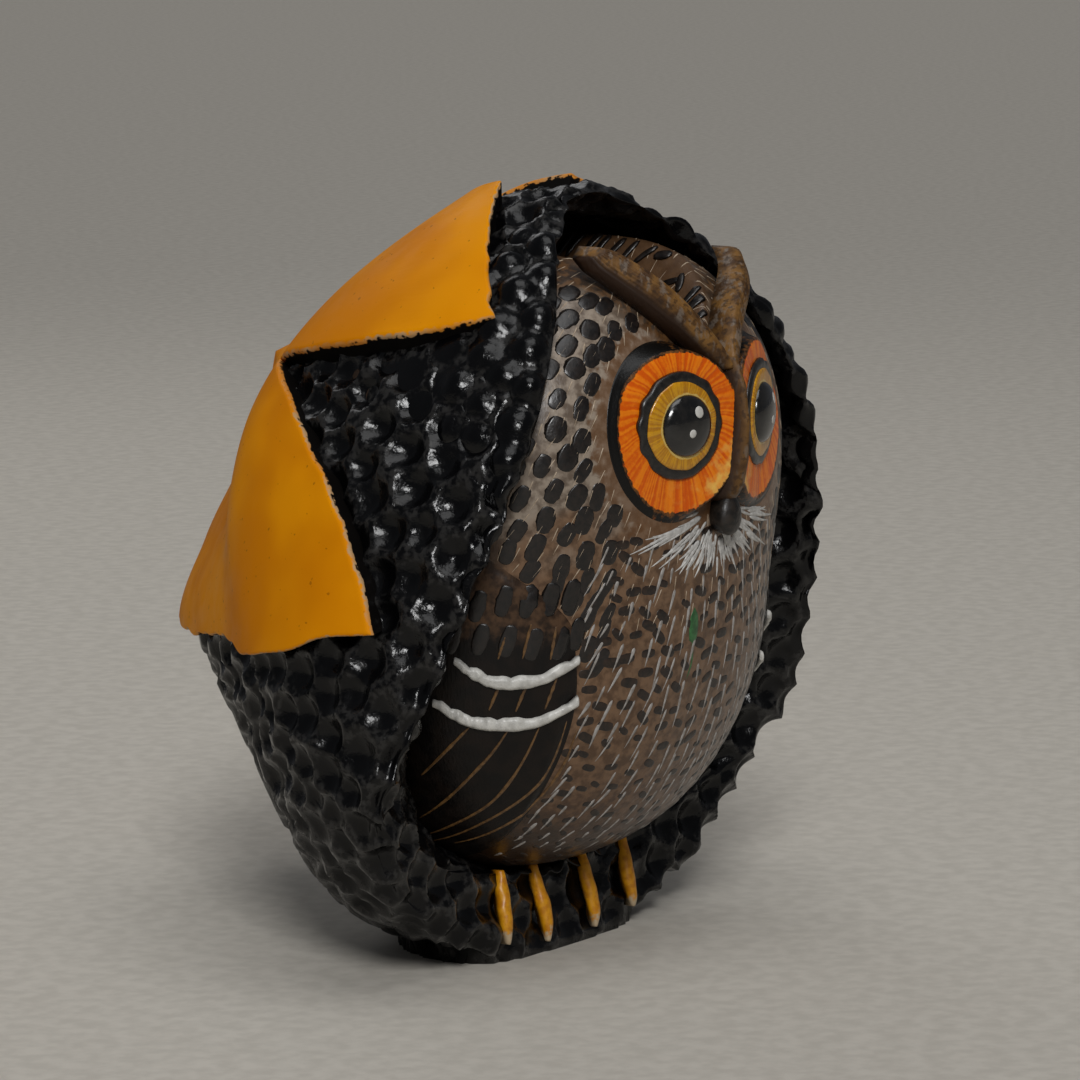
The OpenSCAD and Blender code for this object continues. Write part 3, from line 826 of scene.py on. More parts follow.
def polar_of(p):
    """Ray angle and tilt of points on the body's front, as if on the owl's right side."""
    t = np.degrees(np.arctan2(np.abs(p[..., 0]), p[..., 2] - BODY_MIDDLE[2]))
    r = np.hypot(p[..., 0], p[..., 2] - BODY_MIDDLE[2])
    return t, 180 - np.degrees(np.arcsin(np.clip(r / outline_radius(t), 0, 1)))


def on_wing(p, margin=0.0):
    t, tilt = polar_of(p)
    return (t > 84 - margin) & (t < 157) & (tilt < wing_front(t) + margin)


def near_eye(p, reach):
    """Whether a point is within reach of an eye's middle, seen along the eye's own direction."""
    q = flipped(-1, p) * (p[..., :1] > 0) + p * (p[..., :1] <= 0)
    q = q - EYE
    out = np.array([-sin(EYE_TURN), -cos(EYE_TURN), 0])
    flat = q - out * (q @ out)[..., None]
    return np.linalg.norm(flat, axis=-1) < reach


def marks_over(points, where, pitch):
    """Evenly spread places for marks where the mask says so, with their directions."""
    p = points[where]
    p = p[spread_evenly(p, pitch)]
    return p, flow(p), body_out(p)


def head_spots(points):
    """Rows of black ovals on the sides of the head and the neck, longer lower down."""
    where = (points[:, 2] > 34) & ~near_eye(points, 11.4) & ~on_wing(points, 2) & (points[:, 1] < -3)
    where &= (above_brow(points) < -3.6) & ((points[:, 2] > 50) | (np.abs(points[:, 0]) > 15.5))
    solids = []
    for p, way, out in zip(*marks_over(points, where, 2.95)):
        low = smooth((54 - p[2]) / 14)
        way = turned(way, out, chance.uniform(-14, 14))
        solids.append(oval(p, way, mix(3.3, 4.0, low) * chance.uniform(0.85, 1.1),
                           mix(2.5, 2.1, low) * chance.uniform(0.8, 1.08), 0.035))
    return solids


def breast_dashes(points):
    """Small dark crosswise dashes over the breast and belly."""
    where = (points[:, 2] < 49) & ~near_eye(points, 10.5) & ~on_wing(points, 1.2)
    where &= (points[:, 2] < 38) | (np.abs(points[:, 0]) < 16.5)
    solids = []
    for p, way, out in zip(*marks_over(points, where, 2.3)):
        if chance.random() < 0.14:
            continue
        way = turned(way, out, 90 + chance.uniform(-28, 28))
        size = mix(0.75, 1.0, smooth((p[2] - 12) / 20)) * chance.uniform(0.75, 1.15)
        solids.append(oval(p, way, 2.35 * size, 1.4 * size, 0.04))
    return solids


def forehead_scales(points):
    """Tiny dark scales in the V between the brows."""
    solids = []
    where = (above_brow(points) > 2.6) & (points[:, 1] < 0) & (np.abs(points[:, 0]) < 16)
    for p, way, out in zip(*marks_over(points, where, 2.1)):
        across = turned(way, out, 90 + chance.uniform(-20, 20))
        solids.append(oval(p, across, 2.2, 1.3 * chance.uniform(0.8, 1.2), 0.12, 0.1))
    return solids


def pale_streaks(points):
    """Long thin grey-white strokes down the breast."""
    where = (points[:, 2] < 47) & (points[:, 2] > 12) & ~on_wing(points, 1.5)
    where &= (points[:, 2] < 40) | (np.abs(points[:, 0]) < 19)
    solids = []
    for p, way, out in zip(*marks_over(points, where, 2.5)):
        middle = smooth((20 - abs(p[0])) / 12)
        if chance.random() > mix(0.62, 0.95, middle):
            continue
        way = turned(way, out, chance.uniform(-7, 7))
        length = chance.uniform(2.0, 5.0) * smooth((p[2] - 2) / 22)
        solids.append(dash(p - way * length / 2, way, length, chance.uniform(0.36, 0.66), 0.07,
                           chance.uniform(-0.3, 0.3)))
    return solids


def fine_hairs(points):
    """Hair-thin cream lines between the spots of the head, the forehead and the upper breast."""
    where = (points[:, 2] > 38) & ~near_eye(points, 10.6) & ~on_wing(points, 1) & (points[:, 1] < -6)
    solids = []
    for p, way, out in zip(*marks_over(points, where, 1.9)):
        way = turned(way, out, chance.uniform(-12, 12))
        length = chance.uniform(1.4, 2.6)
        solids.append(dash(p - way * length / 2, way, length, chance.uniform(0.14, 0.24), 0.035))
    return solids


BRISTLE_ROOT = [-2.6, 49.6]
BRISTLES = 46


def bristles():
    """White strokes that fan out from the beak, long ones under the eyes and short ones below."""
    solids = []
    for side in (RIGHT, LEFT):
        for i in range(BRISTLES):
            part = i / (BRISTLES - 1)
            angle = mix(98, 184, part**1.15) + chance.uniform(-5, 5)
            length = mix(8.5, 3.4, smooth(part * 1.5)) * chance.uniform(0.55, 1.15)
            root = np.array(BRISTLE_ROOT) + [mix(-0.6, 2.0, part), mix(0.8, -2.2, part)]
            away = chance.uniform(0, mix(5.5, 1.5, part))
            root = root + chance.uniform(-0.7, 0.7, 2) + np.array([-sin(angle), cos(angle)]) * away
            start = body_point(*root)
            way = unit(np.array([-sin(angle), 0, cos(angle)]))
            out = body_out(start)
            way = unit(way - out * (way @ out))
            solids.append(dash(flipped(side, start), flipped(side, way), length,
                               chance.uniform(0.4, 0.7), 0.12, side * chance.uniform(-1.0, 0.1)))
    return solids


GREEN_TICK = [[-4.2, -27.1, 40.2], [-4.1, -27, 38.2], [-4.0, -26.8, 36.2], [-3.7, -26.4, 33.8], [-4.2, -26.1, 31.6]]


def green_tick():
    """A stray mark of green paint on the breast."""
    t = np.linspace(0, 1, 28)
    line = onto_body(curve_through(GREEN_TICK, t * (len(GREEN_TICK) - 1)))
    full = np.where(t < 0.5, 0.75 * np.sin(np.pi * np.clip(t / 0.62, 0, 1))**0.6, 0) + 0.2
    full = full * np.clip(8 * (1 - t), 0, 1) * np.clip(8 * t, 0, 1)
    return stroke(line, np.maximum(full, 0.01), 0.09)


def owl_marks():
    points = body_samples()
    dark = brushed("dark_brush_marks", shade(14, 11, 10), shade(32, 25, 21), 0.34, 0.25)
    brown = brushed("brown_brush_marks", shade(22, 15, 11), shade(44, 31, 22), 0.42)
    pale = brushed("grey_white_streaks", shade(128, 122, 116), shade(168, 164, 160), 0.45)
    cream = brushed("cream_hairs", shade(150, 130, 106), shade(186, 168, 146), 0.45)
    white = brushed("white_bristle_paint", shade(168, 166, 162), shade(206, 204, 200), 0.45)
    green = brushed("green_paint", shade(34, 78, 40), shade(52, 108, 58), 0.4)
    slot = "painted_owl_wood"
    piece("head_spots", joined(head_spots(points)), dark, slot)
    piece("breast_dashes", joined(breast_dashes(points)), brown, slot)
    piece("forehead_scales", joined(forehead_scales(points)), dark, slot)
    piece("fine_cream_hairs", joined(fine_hairs(points)), cream, slot)
    piece("pale_breast_streaks", joined(pale_streaks(points)), pale, slot)
    piece("beak_bristles", joined(bristles()), white, "white_paint")
    piece("green_paint_tick", green_tick(), green, slot)


# ---------------------------------------------------------------- the face

AROUND_EYE = np.arange(0, 360, 1.5)
DISC_SKIRT = 9.7  # where the slope round the disc meets the body
DISC_DROOP = 1.0  # how far the outer side of the disc bends back
PUPIL_SHIFT = 0.5  # how far the pupil sits from the eye's middle, towards the nose


def eye_disc(side):
    """An orange disc with fine radial grooves, and the dark slope round it."""
    a = AROUND_EYE
    streak = chance.random(len(a))
    groove = 0.07 * (streak - 0.5)
    droop = DISC_DROOP * (0.5 + 0.5 * cos(a - 285))**1.5
    back = [onto_body_front(eye_point(side, r, a, 0)) + point(0, 0.3, 0) for r in (2, 5, DISC_SKIRT)]
    slope = []
    for r, down in ((DISC_SKIRT, 1.0), (9.55, 0.9), (9.3, 0.62), (9.05, 0.3), (8.92, 0.1)):
        low = onto_body_front(eye_point(side, r, a, 0)) + point(0, -0.03, 0)
        slope.append(mix(eye_point(side, r, a, 0.36 - droop), low, down))
    radii = np.concatenate([[8.8, 8.7, 8.5], np.linspace(8.3, 5.4, 12), [4, 2]])
    rises = np.concatenate([[0.38, 0.42, 0.45], np.linspace(0.46, 0.36, 12), [0.3, 0.3]])
    lifts = IRIS_LIFT * smooth((8.8 - radii) / 3)
    front = [eye_point(side, r, a, rise - droop * (r / DISC_RADIUS)**3 + groove * smooth((8.7 - r) / 0.5), lift)
             for r, rise, lift in zip(radii, rises, lifts)]
    shown = np.stack(slope + front)
    clear = onto_body_front(shown)[..., 1] - 0.28 * smooth((9.55 - np.hypot(*aside(side, shown))) / 0.6) - 0.02
    shown[..., 1] = np.minimum(shown[..., 1], clear)
    rings = np.concatenate([np.stack(back), shown])
    nose_side = flipped(side, rings)
    nose_side[..., 0] = np.minimum(nose_side[..., 0], -0.1)
    rings = flipped(side, nose_side)
    along = np.concatenate([[0, 0, DISC_SKIRT], [DISC_SKIRT, 9.55, 9.3, 9.05, 8.92], radii])[:, None]
    corner = 0.85 * np.exp(-((a - 128) / 30)**2) * smooth((along - 5.4) / 3.0) + 0.12 * smooth(-cos(a))
    rim = smooth((along - 8.3) / 0.5) + 0 * a
    thick = np.maximum(smooth((a - 196) / 14), 0.55 * smooth((a - 118) / 12)) + 0.6 * smooth((60 - a) / 30)
    ink = smooth((along - 8.75) / 0.25) * thick
    name = "right" if side == RIGHT else "left"
    piece(f"grooved_eye_disc_{name}", loft(back[0].mean(axis=0), rings, front[-1].mean(axis=0)), EYE_ORANGE,
          "eye_orange", [f"eye_disc_{name}"],
          **{mark: np.concatenate([[0], (values + 0 * along).ravel(), [0]])
             for mark, values in (("streak", streak), ("corner", corner), ("rim", rim), ("ink", ink))})


def onto_body_front(p):
    return body_point(p[..., 0], p[..., 2])


def eye_ring(side):
    """The hand-painted black ring between the disc and the iris."""
    a = AROUND_EYE
    waver = 0.09 * wander(a / 360 * 4, 5, 2, 6.0)
    waver = waver * np.minimum(1, np.minimum(a, 360 - a) / 15)
    rings = [eye_point(side, r + waver * k, a, rise, IRIS_LIFT) for r, k, rise in (
        (3.0, 0, 0.2), (5.86, 1, 0.2), (5.8, 1, 0.58), (5.5, 0.5, 0.74), (5.0, 0, 0.78), (4.5, 0, 0.74), (3.0, 0, 0.6))]
    name = "right" if side == RIGHT else "left"
    ends = [eye_point(side, 0, 0, rise, IRIS_LIFT) for rise in (0.2, 0.6)]
    piece(f"eye_ring_{name}", loft(ends[0], np.stack(rings), ends[1]), RING_BLACK, "gloss_black")


def iris(side):
    """A yellow ring that dishes in towards the pupil."""
    a = AROUND_EYE
    streak = chance.random(len(a))
    waver = 0.06 * wander(a / 360 * 4, 3, 1, 3.0) * np.minimum(1, np.minimum(a, 360 - a) / 15)
    profile = ((3.0, 0.4), (4.8, 0.4), (4.76, 0.84), (4.6, 0.93), (4.2, 0.97), (3.8, 0.99), (3.3, 1.0), (2.6, 1.0))
    rings = [eye_point(side, r + waver * (r > 4.5), a, rise + 0.03 * (streak - 0.5) * (r < 4.7), IRIS_LIFT)
             for r, rise in profile]
    name = "right" if side == RIGHT else "left"
    ends = [eye_point(side, 0, 0, rise, IRIS_LIFT) for rise in (0.4, 1.0)]
    shown = np.concatenate([[0.5], np.repeat(streak[None], len(profile), 0).ravel(), [0.5]])
    middle = eye_point(side, PUPIL_SHIFT, 90, 1.0, IRIS_LIFT)
    gap = [np.linalg.norm(ring - middle, axis=-1) for ring in rings]
    piece(f"brushed_iris_{name}", loft(ends[0], np.stack(rings), ends[1]), IRIS_YELLOW, "eye_yellow",
          [f"iris_{name}"], streak=shown, gap=np.concatenate([[9], np.concatenate(gap), [0]]))


def pupil_point(side, r, a):
    """A point of the pupil's dome."""
    base = DISC_RISE + IRIS_RISE
    tall = PUPIL_BULGE * np.sqrt(np.clip(1 - (np.asarray(r) / PUPIL_RADIUS)**2, 0, 1))
    return eye_point(side, r, a, base - 0.05 + tall, IRIS_LIFT) + pupil_offset(side)


def pupil_offset(side):
    return eye_point(side, PUPIL_SHIFT, 90, 0) - eye_point(side, 0, 90, 0)


def pupil(side):
    """A glossy black dome."""
    a = AROUND_EYE
    tilts = np.concatenate([np.linspace(0, 84, 15)])
    rings = [eye_point(side, PUPIL_RADIUS, a, 0.6, IRIS_LIFT) + pupil_offset(side)]
    rings += [pupil_point(side, PUPIL_RADIUS * cos(t), a) for t in tilts]
    name = "right" if side == RIGHT else "left"
    piece(f"domed_pupil_{name}", loft(eye_point(side, 0, 0, 0.6, IRIS_LIFT) + pupil_offset(side), np.stack(rings),
                                      pupil_point(side, 0, 0)), PUPIL_BLACK, "gloss_black", [f"pupil_{name}"])


GLINTS = ((1.75, 30, 0.66), (0.75, 190, 0.48))  # radius from the middle, angle, and size


def glints(side):
    """Two white dots on the pupil, where light would catch it."""
    solids = []
    for r, a, size in GLINTS:
        if side == LEFT:
            a = -a
        middle = np.array([r * sin(a), r * cos(a)])
        turn = np.arange(0, 360, 20.0)
        rings = []
        for k, rise in ((1.0, -0.03), (0.92, 0.03), (0.6, 0.07), (0.25, 0.08)):
            x, z = middle[0] + k * size * sin(turn), middle[1] + k * size * cos(turn)
            rings.append(pupil_point(side, np.hypot(x, z), np.degrees(np.arctan2(x, z))) + point(0 * turn, -rise, 0))
        centre = pupil_point(side, r, a)
        solids.append(loft(centre + [0, 0.05, 0], np.stack(rings), centre + [0, -0.08, 0]))
    return solids


BROW_THICKNESS = 3.4


def brow(side):
    """A plank-like ridge that rises from between the eyes to the ear tuft."""
    steps, across = 64, 30
    t = np.linspace(0, 3, steps)
    c = curve_through(BROW_LINE, t)
    if side == LEFT:
        c = c + LEFT_TUFT * smooth((t - 0.8) / 2.2)[:, None]
    along = np.gradient(c[:, [0, 2]], axis=0)
    along = unit(along)
    half = curve_through([[1.2], [1.5], [1.75], [1.5]], t)[:, 0] * (LEFT_TUFT_WIDTH if side == LEFT else 1)
    half = half * np.clip((3.12 - t) / 0.35, 0, 1)**0.5 * np.clip((t + 0.15) / 0.5, 0, 1)**0.5
    w = np.linspace(-1, 1, across)
    x = np.minimum(c[:, :1] - along[:, 1:] * half[:, None] * w, -0.02)
    z = c[:, 2:] + along[:, :1] * half[:, None] * w
    plank = np.clip(1 - np.abs(w)**6, 0, 1)**0.5
    strands = 0.10 * np.sin(9 * np.pi * w + 1.5 * np.sin(2.1 * t[:, None])) * smooth(t / 2)[:, None]
    base = body_front_y(x, z)
    crest = c[:, 1:2] + 1.2 * (1 - plank) + 1.3 * np.clip(w + 0.1, 0, 1)**1.3 - strands * plank
    crest = np.minimum(crest, base - 0.1)
    top = point(x, crest, z)
    foot = point(x, np.minimum(base + 1.6, c[:, 1:2] + BROW_THICKNESS), z)[:, ::-1]
    rings = np.concatenate([top, foot], 1)
    name = "right" if side == RIGHT else "left"
    # edge falls from the upper side to the lower side, where brow_paint paints shade on the lower face.
    edge = np.repeat((1 - w)[None], steps, 0)
    edge = np.concatenate([edge, edge[:, ::-1]], 1)
    start, finish = rings[0].mean(axis=0), rings[-1].mean(axis=0)
    piece(f"carved_brow_{name}", loft(flipped(side, start), flipped(side, rings), flipped(side, finish)),
          BROW_PAINT, "painted_owl_wood", [f"brow_{name}"], edge=np.concatenate([[1], edge.ravel(), [1]]))


# The crest of the ridge between the eyes, from the brows down to the beak: height and depth
NOSE_CREST = np.array([[51.2, -28.9], [53, -30.2], [56, -30.9], [60, -31.1], [64, -30.6], [67, -29.4]])


def nose_ridge():
    """The brown ridge between the eyes, from the brows down to the beak."""
    steps, across = 50, 24
    z = np.linspace(67, 51.2, steps)[:, None]
    w = np.linspace(-1, 1, across)
    half = mix(0.85, 1.35, smooth((60 - z) / 8)) * np.clip((z - 50.9) / 1.2, 0.2, 1)**0.5
    x = w * half * mix(1.35, 1, smooth((z - 50) / 20))
    crest = np.interp(z, NOSE_CREST[:, 0], NOSE_CREST[:, 1])
    base = body_front_y(x, z)
    top = point(x, mix(base - 0.5, crest, np.clip(1 - np.abs(w)**2.2, 0, 1)**0.55), z)
    rings = np.concatenate([top, point(x, base + 0.4, z)[:, ::-1]], 1)
    edge = np.repeat((0.62 - 0.5 * np.abs(w)**2)[None], steps, 0)
    edge = np.concatenate([edge, 0 * edge], 1)
    piece("nose_ridge", loft(rings[0].mean(axis=0), rings, rings[-1].mean(axis=0)), BROW_PAINT,
          "painted_owl_wood", edge=np.concatenate([[1], edge.ravel(), [1]]))


BEAK_MIDDLE = 49.9
BEAK_NECK = 1.5  # how far the bead stands off the breast


def beak():
    """A glossy black oval bead at the foot of the nose ridge."""
    a = np.arange(0, 360, 7.5)

    def ring(r, rise):
        p = body_point(r * 1.8 * sin(a) * (1 - 0.15 * cos(a)), BEAK_MIDDLE + r * 2.35 * cos(a))
        return p + point(0, -rise, 0)
    rings = [ring(0.6, -0.3), ring(0.85, 0.0), ring(0.95, 0.8), ring(1, BEAK_NECK)]
    rings += [ring(cos(t), BEAK_NECK + 1.2 * sin(t)) for t in np.linspace(6, 84, 13)]
    tip = body_point(0, BEAK_MIDDLE) + [0, -BEAK_NECK - 1.2, 0]
    piece("glossy_beak", loft(body_point(0, BEAK_MIDDLE) + [0, 0.3, 0], np.stack(rings), tip), BEAK_PAINT,
          "gloss_black", ["beak"])


# ---------------------------------------------------------------- wings and toes

SHOULDER, WING_TIP, WING_BACK = 84, 157, 84
WING_RELIEF = 0.45


def wing_seat(p, q):
    """A place on the body under the wing: p from shoulder to tip, q from back to front."""
    t = mix(SHOULDER, WING_TIP, p)
    return body_polar(mix(WING_BACK, wing_front(t), q), t)


def wing_height(p, q):
    tall = smooth((1 - np.abs(2 * q - 1)) / 0.2) * smooth((1 - np.abs(2 * p - 1)) / 0.2)
    return WING_RELIEF * tall + 0.03


def wing_outward(p, q):
    step = 0.004
    lo_p, hi_p, lo_q, hi_q = (np.clip(k, 0, 1) for k in (p - step, p + step, q - step, q + step))
    down = wing_seat(hi_p, q) - wing_seat(lo_p, q)
    forward = wing_seat(p, hi_q) - wing_seat(p, lo_q)
    return unit(np.cross(down, forward))


# Gold lines that part the flight feathers: they sweep down from the lower bar and back
FEATHER_LINES = (
    [[-26, -12.5, 28.6], [-26.2, -9.5, 25.6], [-25.6, -5.5, 22.2]],
    [[-23.6, -16, 28.6], [-24, -14, 25.5], [-24, -11, 22.5], [-23.5, -7.5, 19.5], [-22, -2.5, 16.5]],
    [[-21.6, -18.5, 28.6], [-21.5, -16.5, 25], [-21.5, -14.2, 21.6], [-21.3, -11.4, 19], [-21, -6.5, 16.2],
     [-19, 0, 14]],
    [[-19.2, -20.5, 29], [-19, -19, 25.4], [-19, -17.4, 22.6], [-19.4, -15.6, 20.4], [-20, -12, 17.8],
     [-20, -8.5, 16], [-18.5, -1, 13.4]],
    [[-17.9, -21, 27.6], [-17.6, -19, 23.5], [-17.9, -16, 19.4], [-18.6, -11.2, 16], [-18.5, -4.5, 13.5]],
)
# Short brown gaps between the feather tips, above the upper bar and between the two
FEATHER_GAPS = (
    [[-25.4, -16.5, 38.6], [-25.8, -15.8, 36]],
    [[-23.7, -18.7, 40], [-24.1, -17.8, 36]],
    [[-21.7, -20.6, 39.6], [-22, -20, 35.8]],
    [[-25.3, -15.8, 33.4], [-25.5, -14.4, 30.2]],
    [[-23.3, -18, 33.6], [-23.8, -16.7, 30]],
    [[-21.1, -20.3, 34], [-21.6, -19, 30.2]],
)
# Middles of the large black ovals on the shoulder, x and z
SHOULDER_SPOTS = ((-27.5, 38.4), (-26.2, 38.4), (-24.6, 38.2), (-22.8, 37.8), (-20.8, 37.8), (-19.2, 38.6),
                  (-26.6, 42), (-25.2, 42.6), (-23.6, 42.4), (-21.9, 42.6), (-20.1, 42.8))


def wing(side):
    """A thin smooth shield that swells out of the body."""
    p, q = np.linspace(0, 1, 90)[:, None], np.linspace(0, 1, 90)[None, :]
    top = wing_seat(p, q) + wing_outward(p, q) * wing_height(p, q)[..., None]
    under = wing_seat(p, q) - wing_outward(p, q) * 0.3
    rings = np.concatenate([top, under[:, ::-1]], 1)
    name = "right" if side == RIGHT else "left"
    start, finish = rings[0].mean(axis=0), rings[-1].mean(axis=0)
    piece(f"feathered_wing_{name}", loft(flipped(side, start), flipped(side, rings), flipped(side, finish)),
          WING_PAINT, "wing_dark_wood", [f"wing_{name}"])


def wing_lift(p):
    """How far the wing's surface lies above the body at points of the body."""
    t, tilt = polar_of(p)
    part = (t - SHOULDER) / (WING_TIP - SHOULDER)
    return wing_height(np.clip(part, 0, 1), np.clip((tilt - WING_BACK) / (wing_front(t) - WING_BACK), 0, 1))


def feather_line(side, points, width):
    """A brush line on the wing, through points of the owl's right side."""
    t = np.linspace(0, 1, 36)
    line = onto_body(curve_through(points, t * (len(points) - 1)))
    full = np.clip(np.sin(np.pi * mix(0.03, 0.97, t)), 0, 1)**0.5 * (1 + 0.12 * wander(t, 3, 2, 6))
    return stroke(flipped(side, line), width / 2 * full, 0.07, wing_lift(line))


def wing_marks(side):
    """Gold lines between the flight feathers, brown gaps, and large black ovals on the shoulder."""
    gold = [feather_line(side, points, 0.46) for points in FEATHER_LINES]
    gold += [feather_line(side, points, 0.42) for points in FEATHER_GAPS]
    dark = []
    for x, z in SHOULDER_SPOTS:
        middle = onto_body(body_point(x, z))
        way = unit(np.array([-0.12, 0.28, -1.0]))
        line = onto_body(middle + way * ((STROKE - 0.5) * 4.1)[:, None])
        full = np.sqrt(np.clip(1 - (2 * STROKE - 1)**2, 0, 1))**0.7
        full = full * (1 + 0.08 * chance.uniform(-1, 1, len(STROKE)))
        dark.append(stroke(flipped(side, line), 1.05 * full, 0.05, wing_lift(line)))
    return gold, dark


UPPER_BAR = [[-27.2, 35.9], [-26, 34.4], [-24.4, 33.6], [-21.8, 34], [-18.9, 35.8]]
LOWER_BAR = [[-27.3, 31.3], [-26, 29.8], [-24.4, 29.1], [-21.6, 29.2], [-18.3, 31.2]]


def wing_bar(side, name, line):
    """A raised white strip with a scalloped upper edge."""
    steps = 90
    s = np.linspace(0, 1, steps)
    c = curve_through(line, s * (len(line) - 1))
    seat = body_point(c[:, 0], c[:, 1])
    out = body_out(seat)
    seat = seat + out * 0.5
    body = 0.68 * (0.3 + 0.7 * np.clip(np.sin(np.pi * (0.06 + 0.88 * s)), 0, 1)**0.6)
    scallop = 0.34 * np.abs(np.sin(np.pi * 5.2 * s + 0.4))**0.7 * (1 + 0.4 * wander(s, 2, 2, 5))
    scallop = scallop + 0.06 * wander(s, 3, 10, 18)
    upper, lower = body + scallop, -body + 0.05 * wander(s, 3, 5, 9)
    tall = 0.5 * (0.6 + 0.4 * body / body.max()) + 0.05 * wander(s, 3, 6, 12)
    rings = []
    for k, h in ((0, -0.3), (0.06, 0.5), (0.3, 0.95), (0.6, 1.0), (0.88, 0.7), (1, -0.3)):
        z = mix(lower, upper, k)
        rings.append(seat + point(0, 0, z) + out * (h * tall)[:, None])
    rings = np.stack(rings, 1)
    which = f"wing_bar_{name}_{'right' if side == RIGHT else 'left'}"
    start, finish = rings[0].mean(axis=0), rings[-1].mean(axis=0)
    piece("brushed_" + which, loft(flipped(side, start), flipped(side, rings), flipped(side, finish)),
          WHITE_PAINT, "white_paint", [which])


TOES = {"toe_right_outer": 163, "toe_right_inner": 173.6, "toe_left_inner": 186.4, "toe_left_outer": 197}


def toe(name, angle):
    """A lumpy yellow spindle down the front of the foot."""
    t = np.linspace(0, 1, 40)
    u = mix(8.0, 7.32, t)
    lean = 0.35 * wander(t, 2, 0.4, 1.0)
    c = outside(u, angle + lean)
    down = unit(np.gradient(c, axis=0))
    across = unit(outside(u, angle + 1) - outside(u, angle - 1))
    out = unit(np.cross(across, down))
    out = np.where(out[:, 1:2] < 0, out, -out)
    half = 0.85 * np.clip(sin(180 * mix(0.08, 0.97, t)), 0, 1)**0.6 * (1 + 0.08 * wander(t, 3, 1, 4))
    rise = 0.95 * np.clip(sin(180 * mix(0.12, 0.96, t)), 0, 1)**0.7 * (1 + 0.06 * wander(t, 3, 1, 4))
    turn = np.linspace(180, 0, 15)
    rings = [c + across * (half * cos(k))[:, None] + out * (rise * sin(k) ** 0.8 - 0.25)[:, None] for k in turn]
    rings = np.stack(rings + [c - out * 1.4], 1)
    piece("carved_" + name, loft(rings[0].mean(axis=0), rings, rings[-1].mean(axis=0)), TOE_PAINT, "toe_yellow",
          [name], down=np.concatenate([[0], np.repeat(t, rings.shape[1]), [1]]))


# ---------------------------------------------------------------- the studio


def floor():
    """A plain pale floor."""
    mesh = bpy.data.meshes.new("floor")
    size, count = 6.0, 7
    line = np.linspace(-size, size, count)
    points = [(x, y, 0) for y in line for x in line]
    faces = [(j * count + i, j * count + i + 1, (j + 1) * count + i + 1, (j + 1) * count + i)
             for j in range(count - 1) for i in range(count - 1)]
    mesh.from_pydata(points, [], faces)
    paint = Paint("pale_floor", Specular_IOR_Level=0.3)
    tone = paint.blend(paint.between(paint.noise(2.5, 4), 0.3, 0.7), shade(198, 192, 181), shade(210, 204, 193))
    mesh.materials.append(paint.finish(tone, 0.75, [(0.01, paint.noise(0.6))]))
    obj = bpy.data.objects.new("floor", mesh)
    bpy.context.scene.collection.objects.link(obj)


def softbox(name, place, target, size, power, tone=(1, 1, 1)):
    """A square soft light; places are in millimetres."""
    light = bpy.data.lights.new(name, "AREA")
    light.shape = "RECTANGLE"
    light.size, light.size_y = size[0] * MM, size[1] * MM
    light.energy = power
    light.color = tone
    obj = bpy.data.objects.new(name, light)
    way = Vector(target) - Vector(place)
    obj.location = Vector(place) * MM
    obj.rotation_euler = way.to_track_quat("-Z", "Y").to_euler()
    bpy.context.scene.collection.objects.link(obj)


def studio():
    world = bpy.data.worlds.new("studio")
    world.use_nodes = True
    world.node_tree.nodes["Background"].inputs["Color"].default_value = (0.9, 0.93, 1, 1)
    world.node_tree.nodes["Background"].inputs["Strength"].default_value = 0.1
    bpy.context.scene.world = world
    bpy.context.scene.view_settings.view_transform = "Standard"
    softbox("overhead", (-90, -110, 520), (0, 0, 40), (300, 300), 0.62)
    softbox("back_rim", (260, 420, 420), (0, 0, 50), (300, 300), 0.32)
    sun = bpy.data.lights.new("key", "SUN")
    sun.energy, sun.angle = 1.6, math.radians(16)
    key = bpy.data.objects.new("key", sun)
    key.rotation_euler = Vector((0.66, 0.5, -0.56)).to_track_quat("-Z", "Y").to_euler()
    bpy.context.scene.collection.objects.link(key)


# The camera looks at the owl's right side, from a little above, through a long lens
AZIMUTH, ELEVATION = -56, 8
CAMERA_DISTANCE = 600
LENS = 181.8
AIM_FROM = np.array([0, -12.5, 43])
AIM_LEFT, AIM_UP = 7.15, 2.75


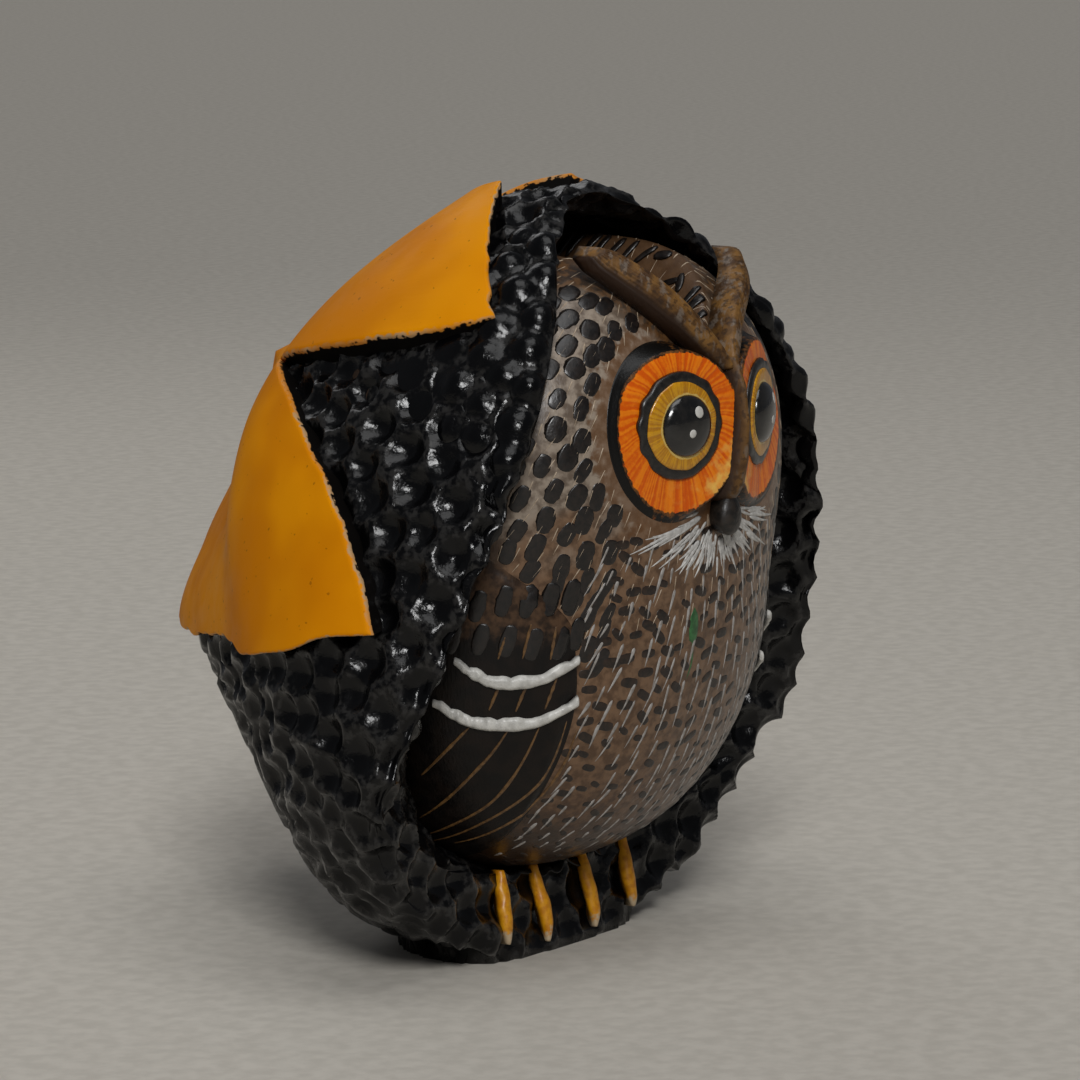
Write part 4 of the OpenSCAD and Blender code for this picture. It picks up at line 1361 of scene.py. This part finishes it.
def camera():
    back = np.array([sin(AZIMUTH) * cos(ELEVATION), -cos(AZIMUTH) * cos(ELEVATION), sin(ELEVATION)])
    right = np.array([cos(AZIMUTH), sin(AZIMUTH), 0])
    up = np.cross(back, right)
    aim = AIM_FROM - AIM_LEFT * right + AIM_UP * up
    data = bpy.data.cameras.new("camera")
    data.lens = LENS
    data.sensor_width = 36
    obj = bpy.data.objects.new("camera", data)
    turn = Matrix([right, up, back]).transposed().to_4x4()
    obj.matrix_world = Matrix.Translation(Vector((aim + CAMERA_DISTANCE * back) * MM)) @ turn
    bpy.context.scene.collection.objects.link(obj)
    bpy.context.scene.camera = obj


# ---------------------------------------------------------------- making it all

camera()
studio()
floor()

PETAL_PAINT = orange_petal()
OWL_PAINT = owl_paint()
BROW_PAINT = brow_paint()
EYE_ORANGE = eye_orange_paint()
IRIS_YELLOW = iris_paint()
PUPIL_BLACK = gloss_black("pupil_black")
RING_BLACK = brushed("eye_ring_black", shade(12, 11, 10), shade(36, 32, 28), 0.36, 0.3)
WING_PAINT = wing_paint()
WHITE_PAINT = brushed("thick_white_paint", shade(176, 174, 168), shade(208, 206, 200), 0.42, 0.15, 0.5, 0.08)
GOLD_PAINT = brushed("gold_brown_lines", shade(78, 54, 28), shade(116, 84, 46), 0.42)
DARK_PAINT = brushed("dark_shoulder_marks", shade(11, 9, 8), shade(26, 20, 17), 0.36, 0.25)
TOE_PAINT = toe_paint()
BEAK_PAINT = brushed("beak_black", shade(10, 9, 8), shade(40, 33, 27), 0.4, 0.15, 0.4, 0.08)

shell()
for side in (RIGHT, LEFT):
    for upper in (True, False):
        petal(side, upper)
owl_body()
owl_marks()
nose_ridge()
for side in (RIGHT, LEFT):
    which = "right" if side == RIGHT else "left"
    eye_disc(side)
    eye_ring(side)
    iris(side)
    pupil(side)
    piece(f"eye_glints_{which}", joined(glints(side)), WHITE_PAINT, "white_paint")
    brow(side)
    wing(side)
    gold, dark = wing_marks(side)
    piece(f"gold_feather_lines_{which}", joined(gold), GOLD_PAINT, "wing_dark_wood")
    piece(f"shoulder_spots_{which}", joined(dark), DARK_PAINT, "wing_dark_wood")
    wing_bar(side, "upper", UPPER_BAR)
    wing_bar(side, "lower", LOWER_BAR)
beak()
for name, angle in TOES.items():
    toe(name, angle)
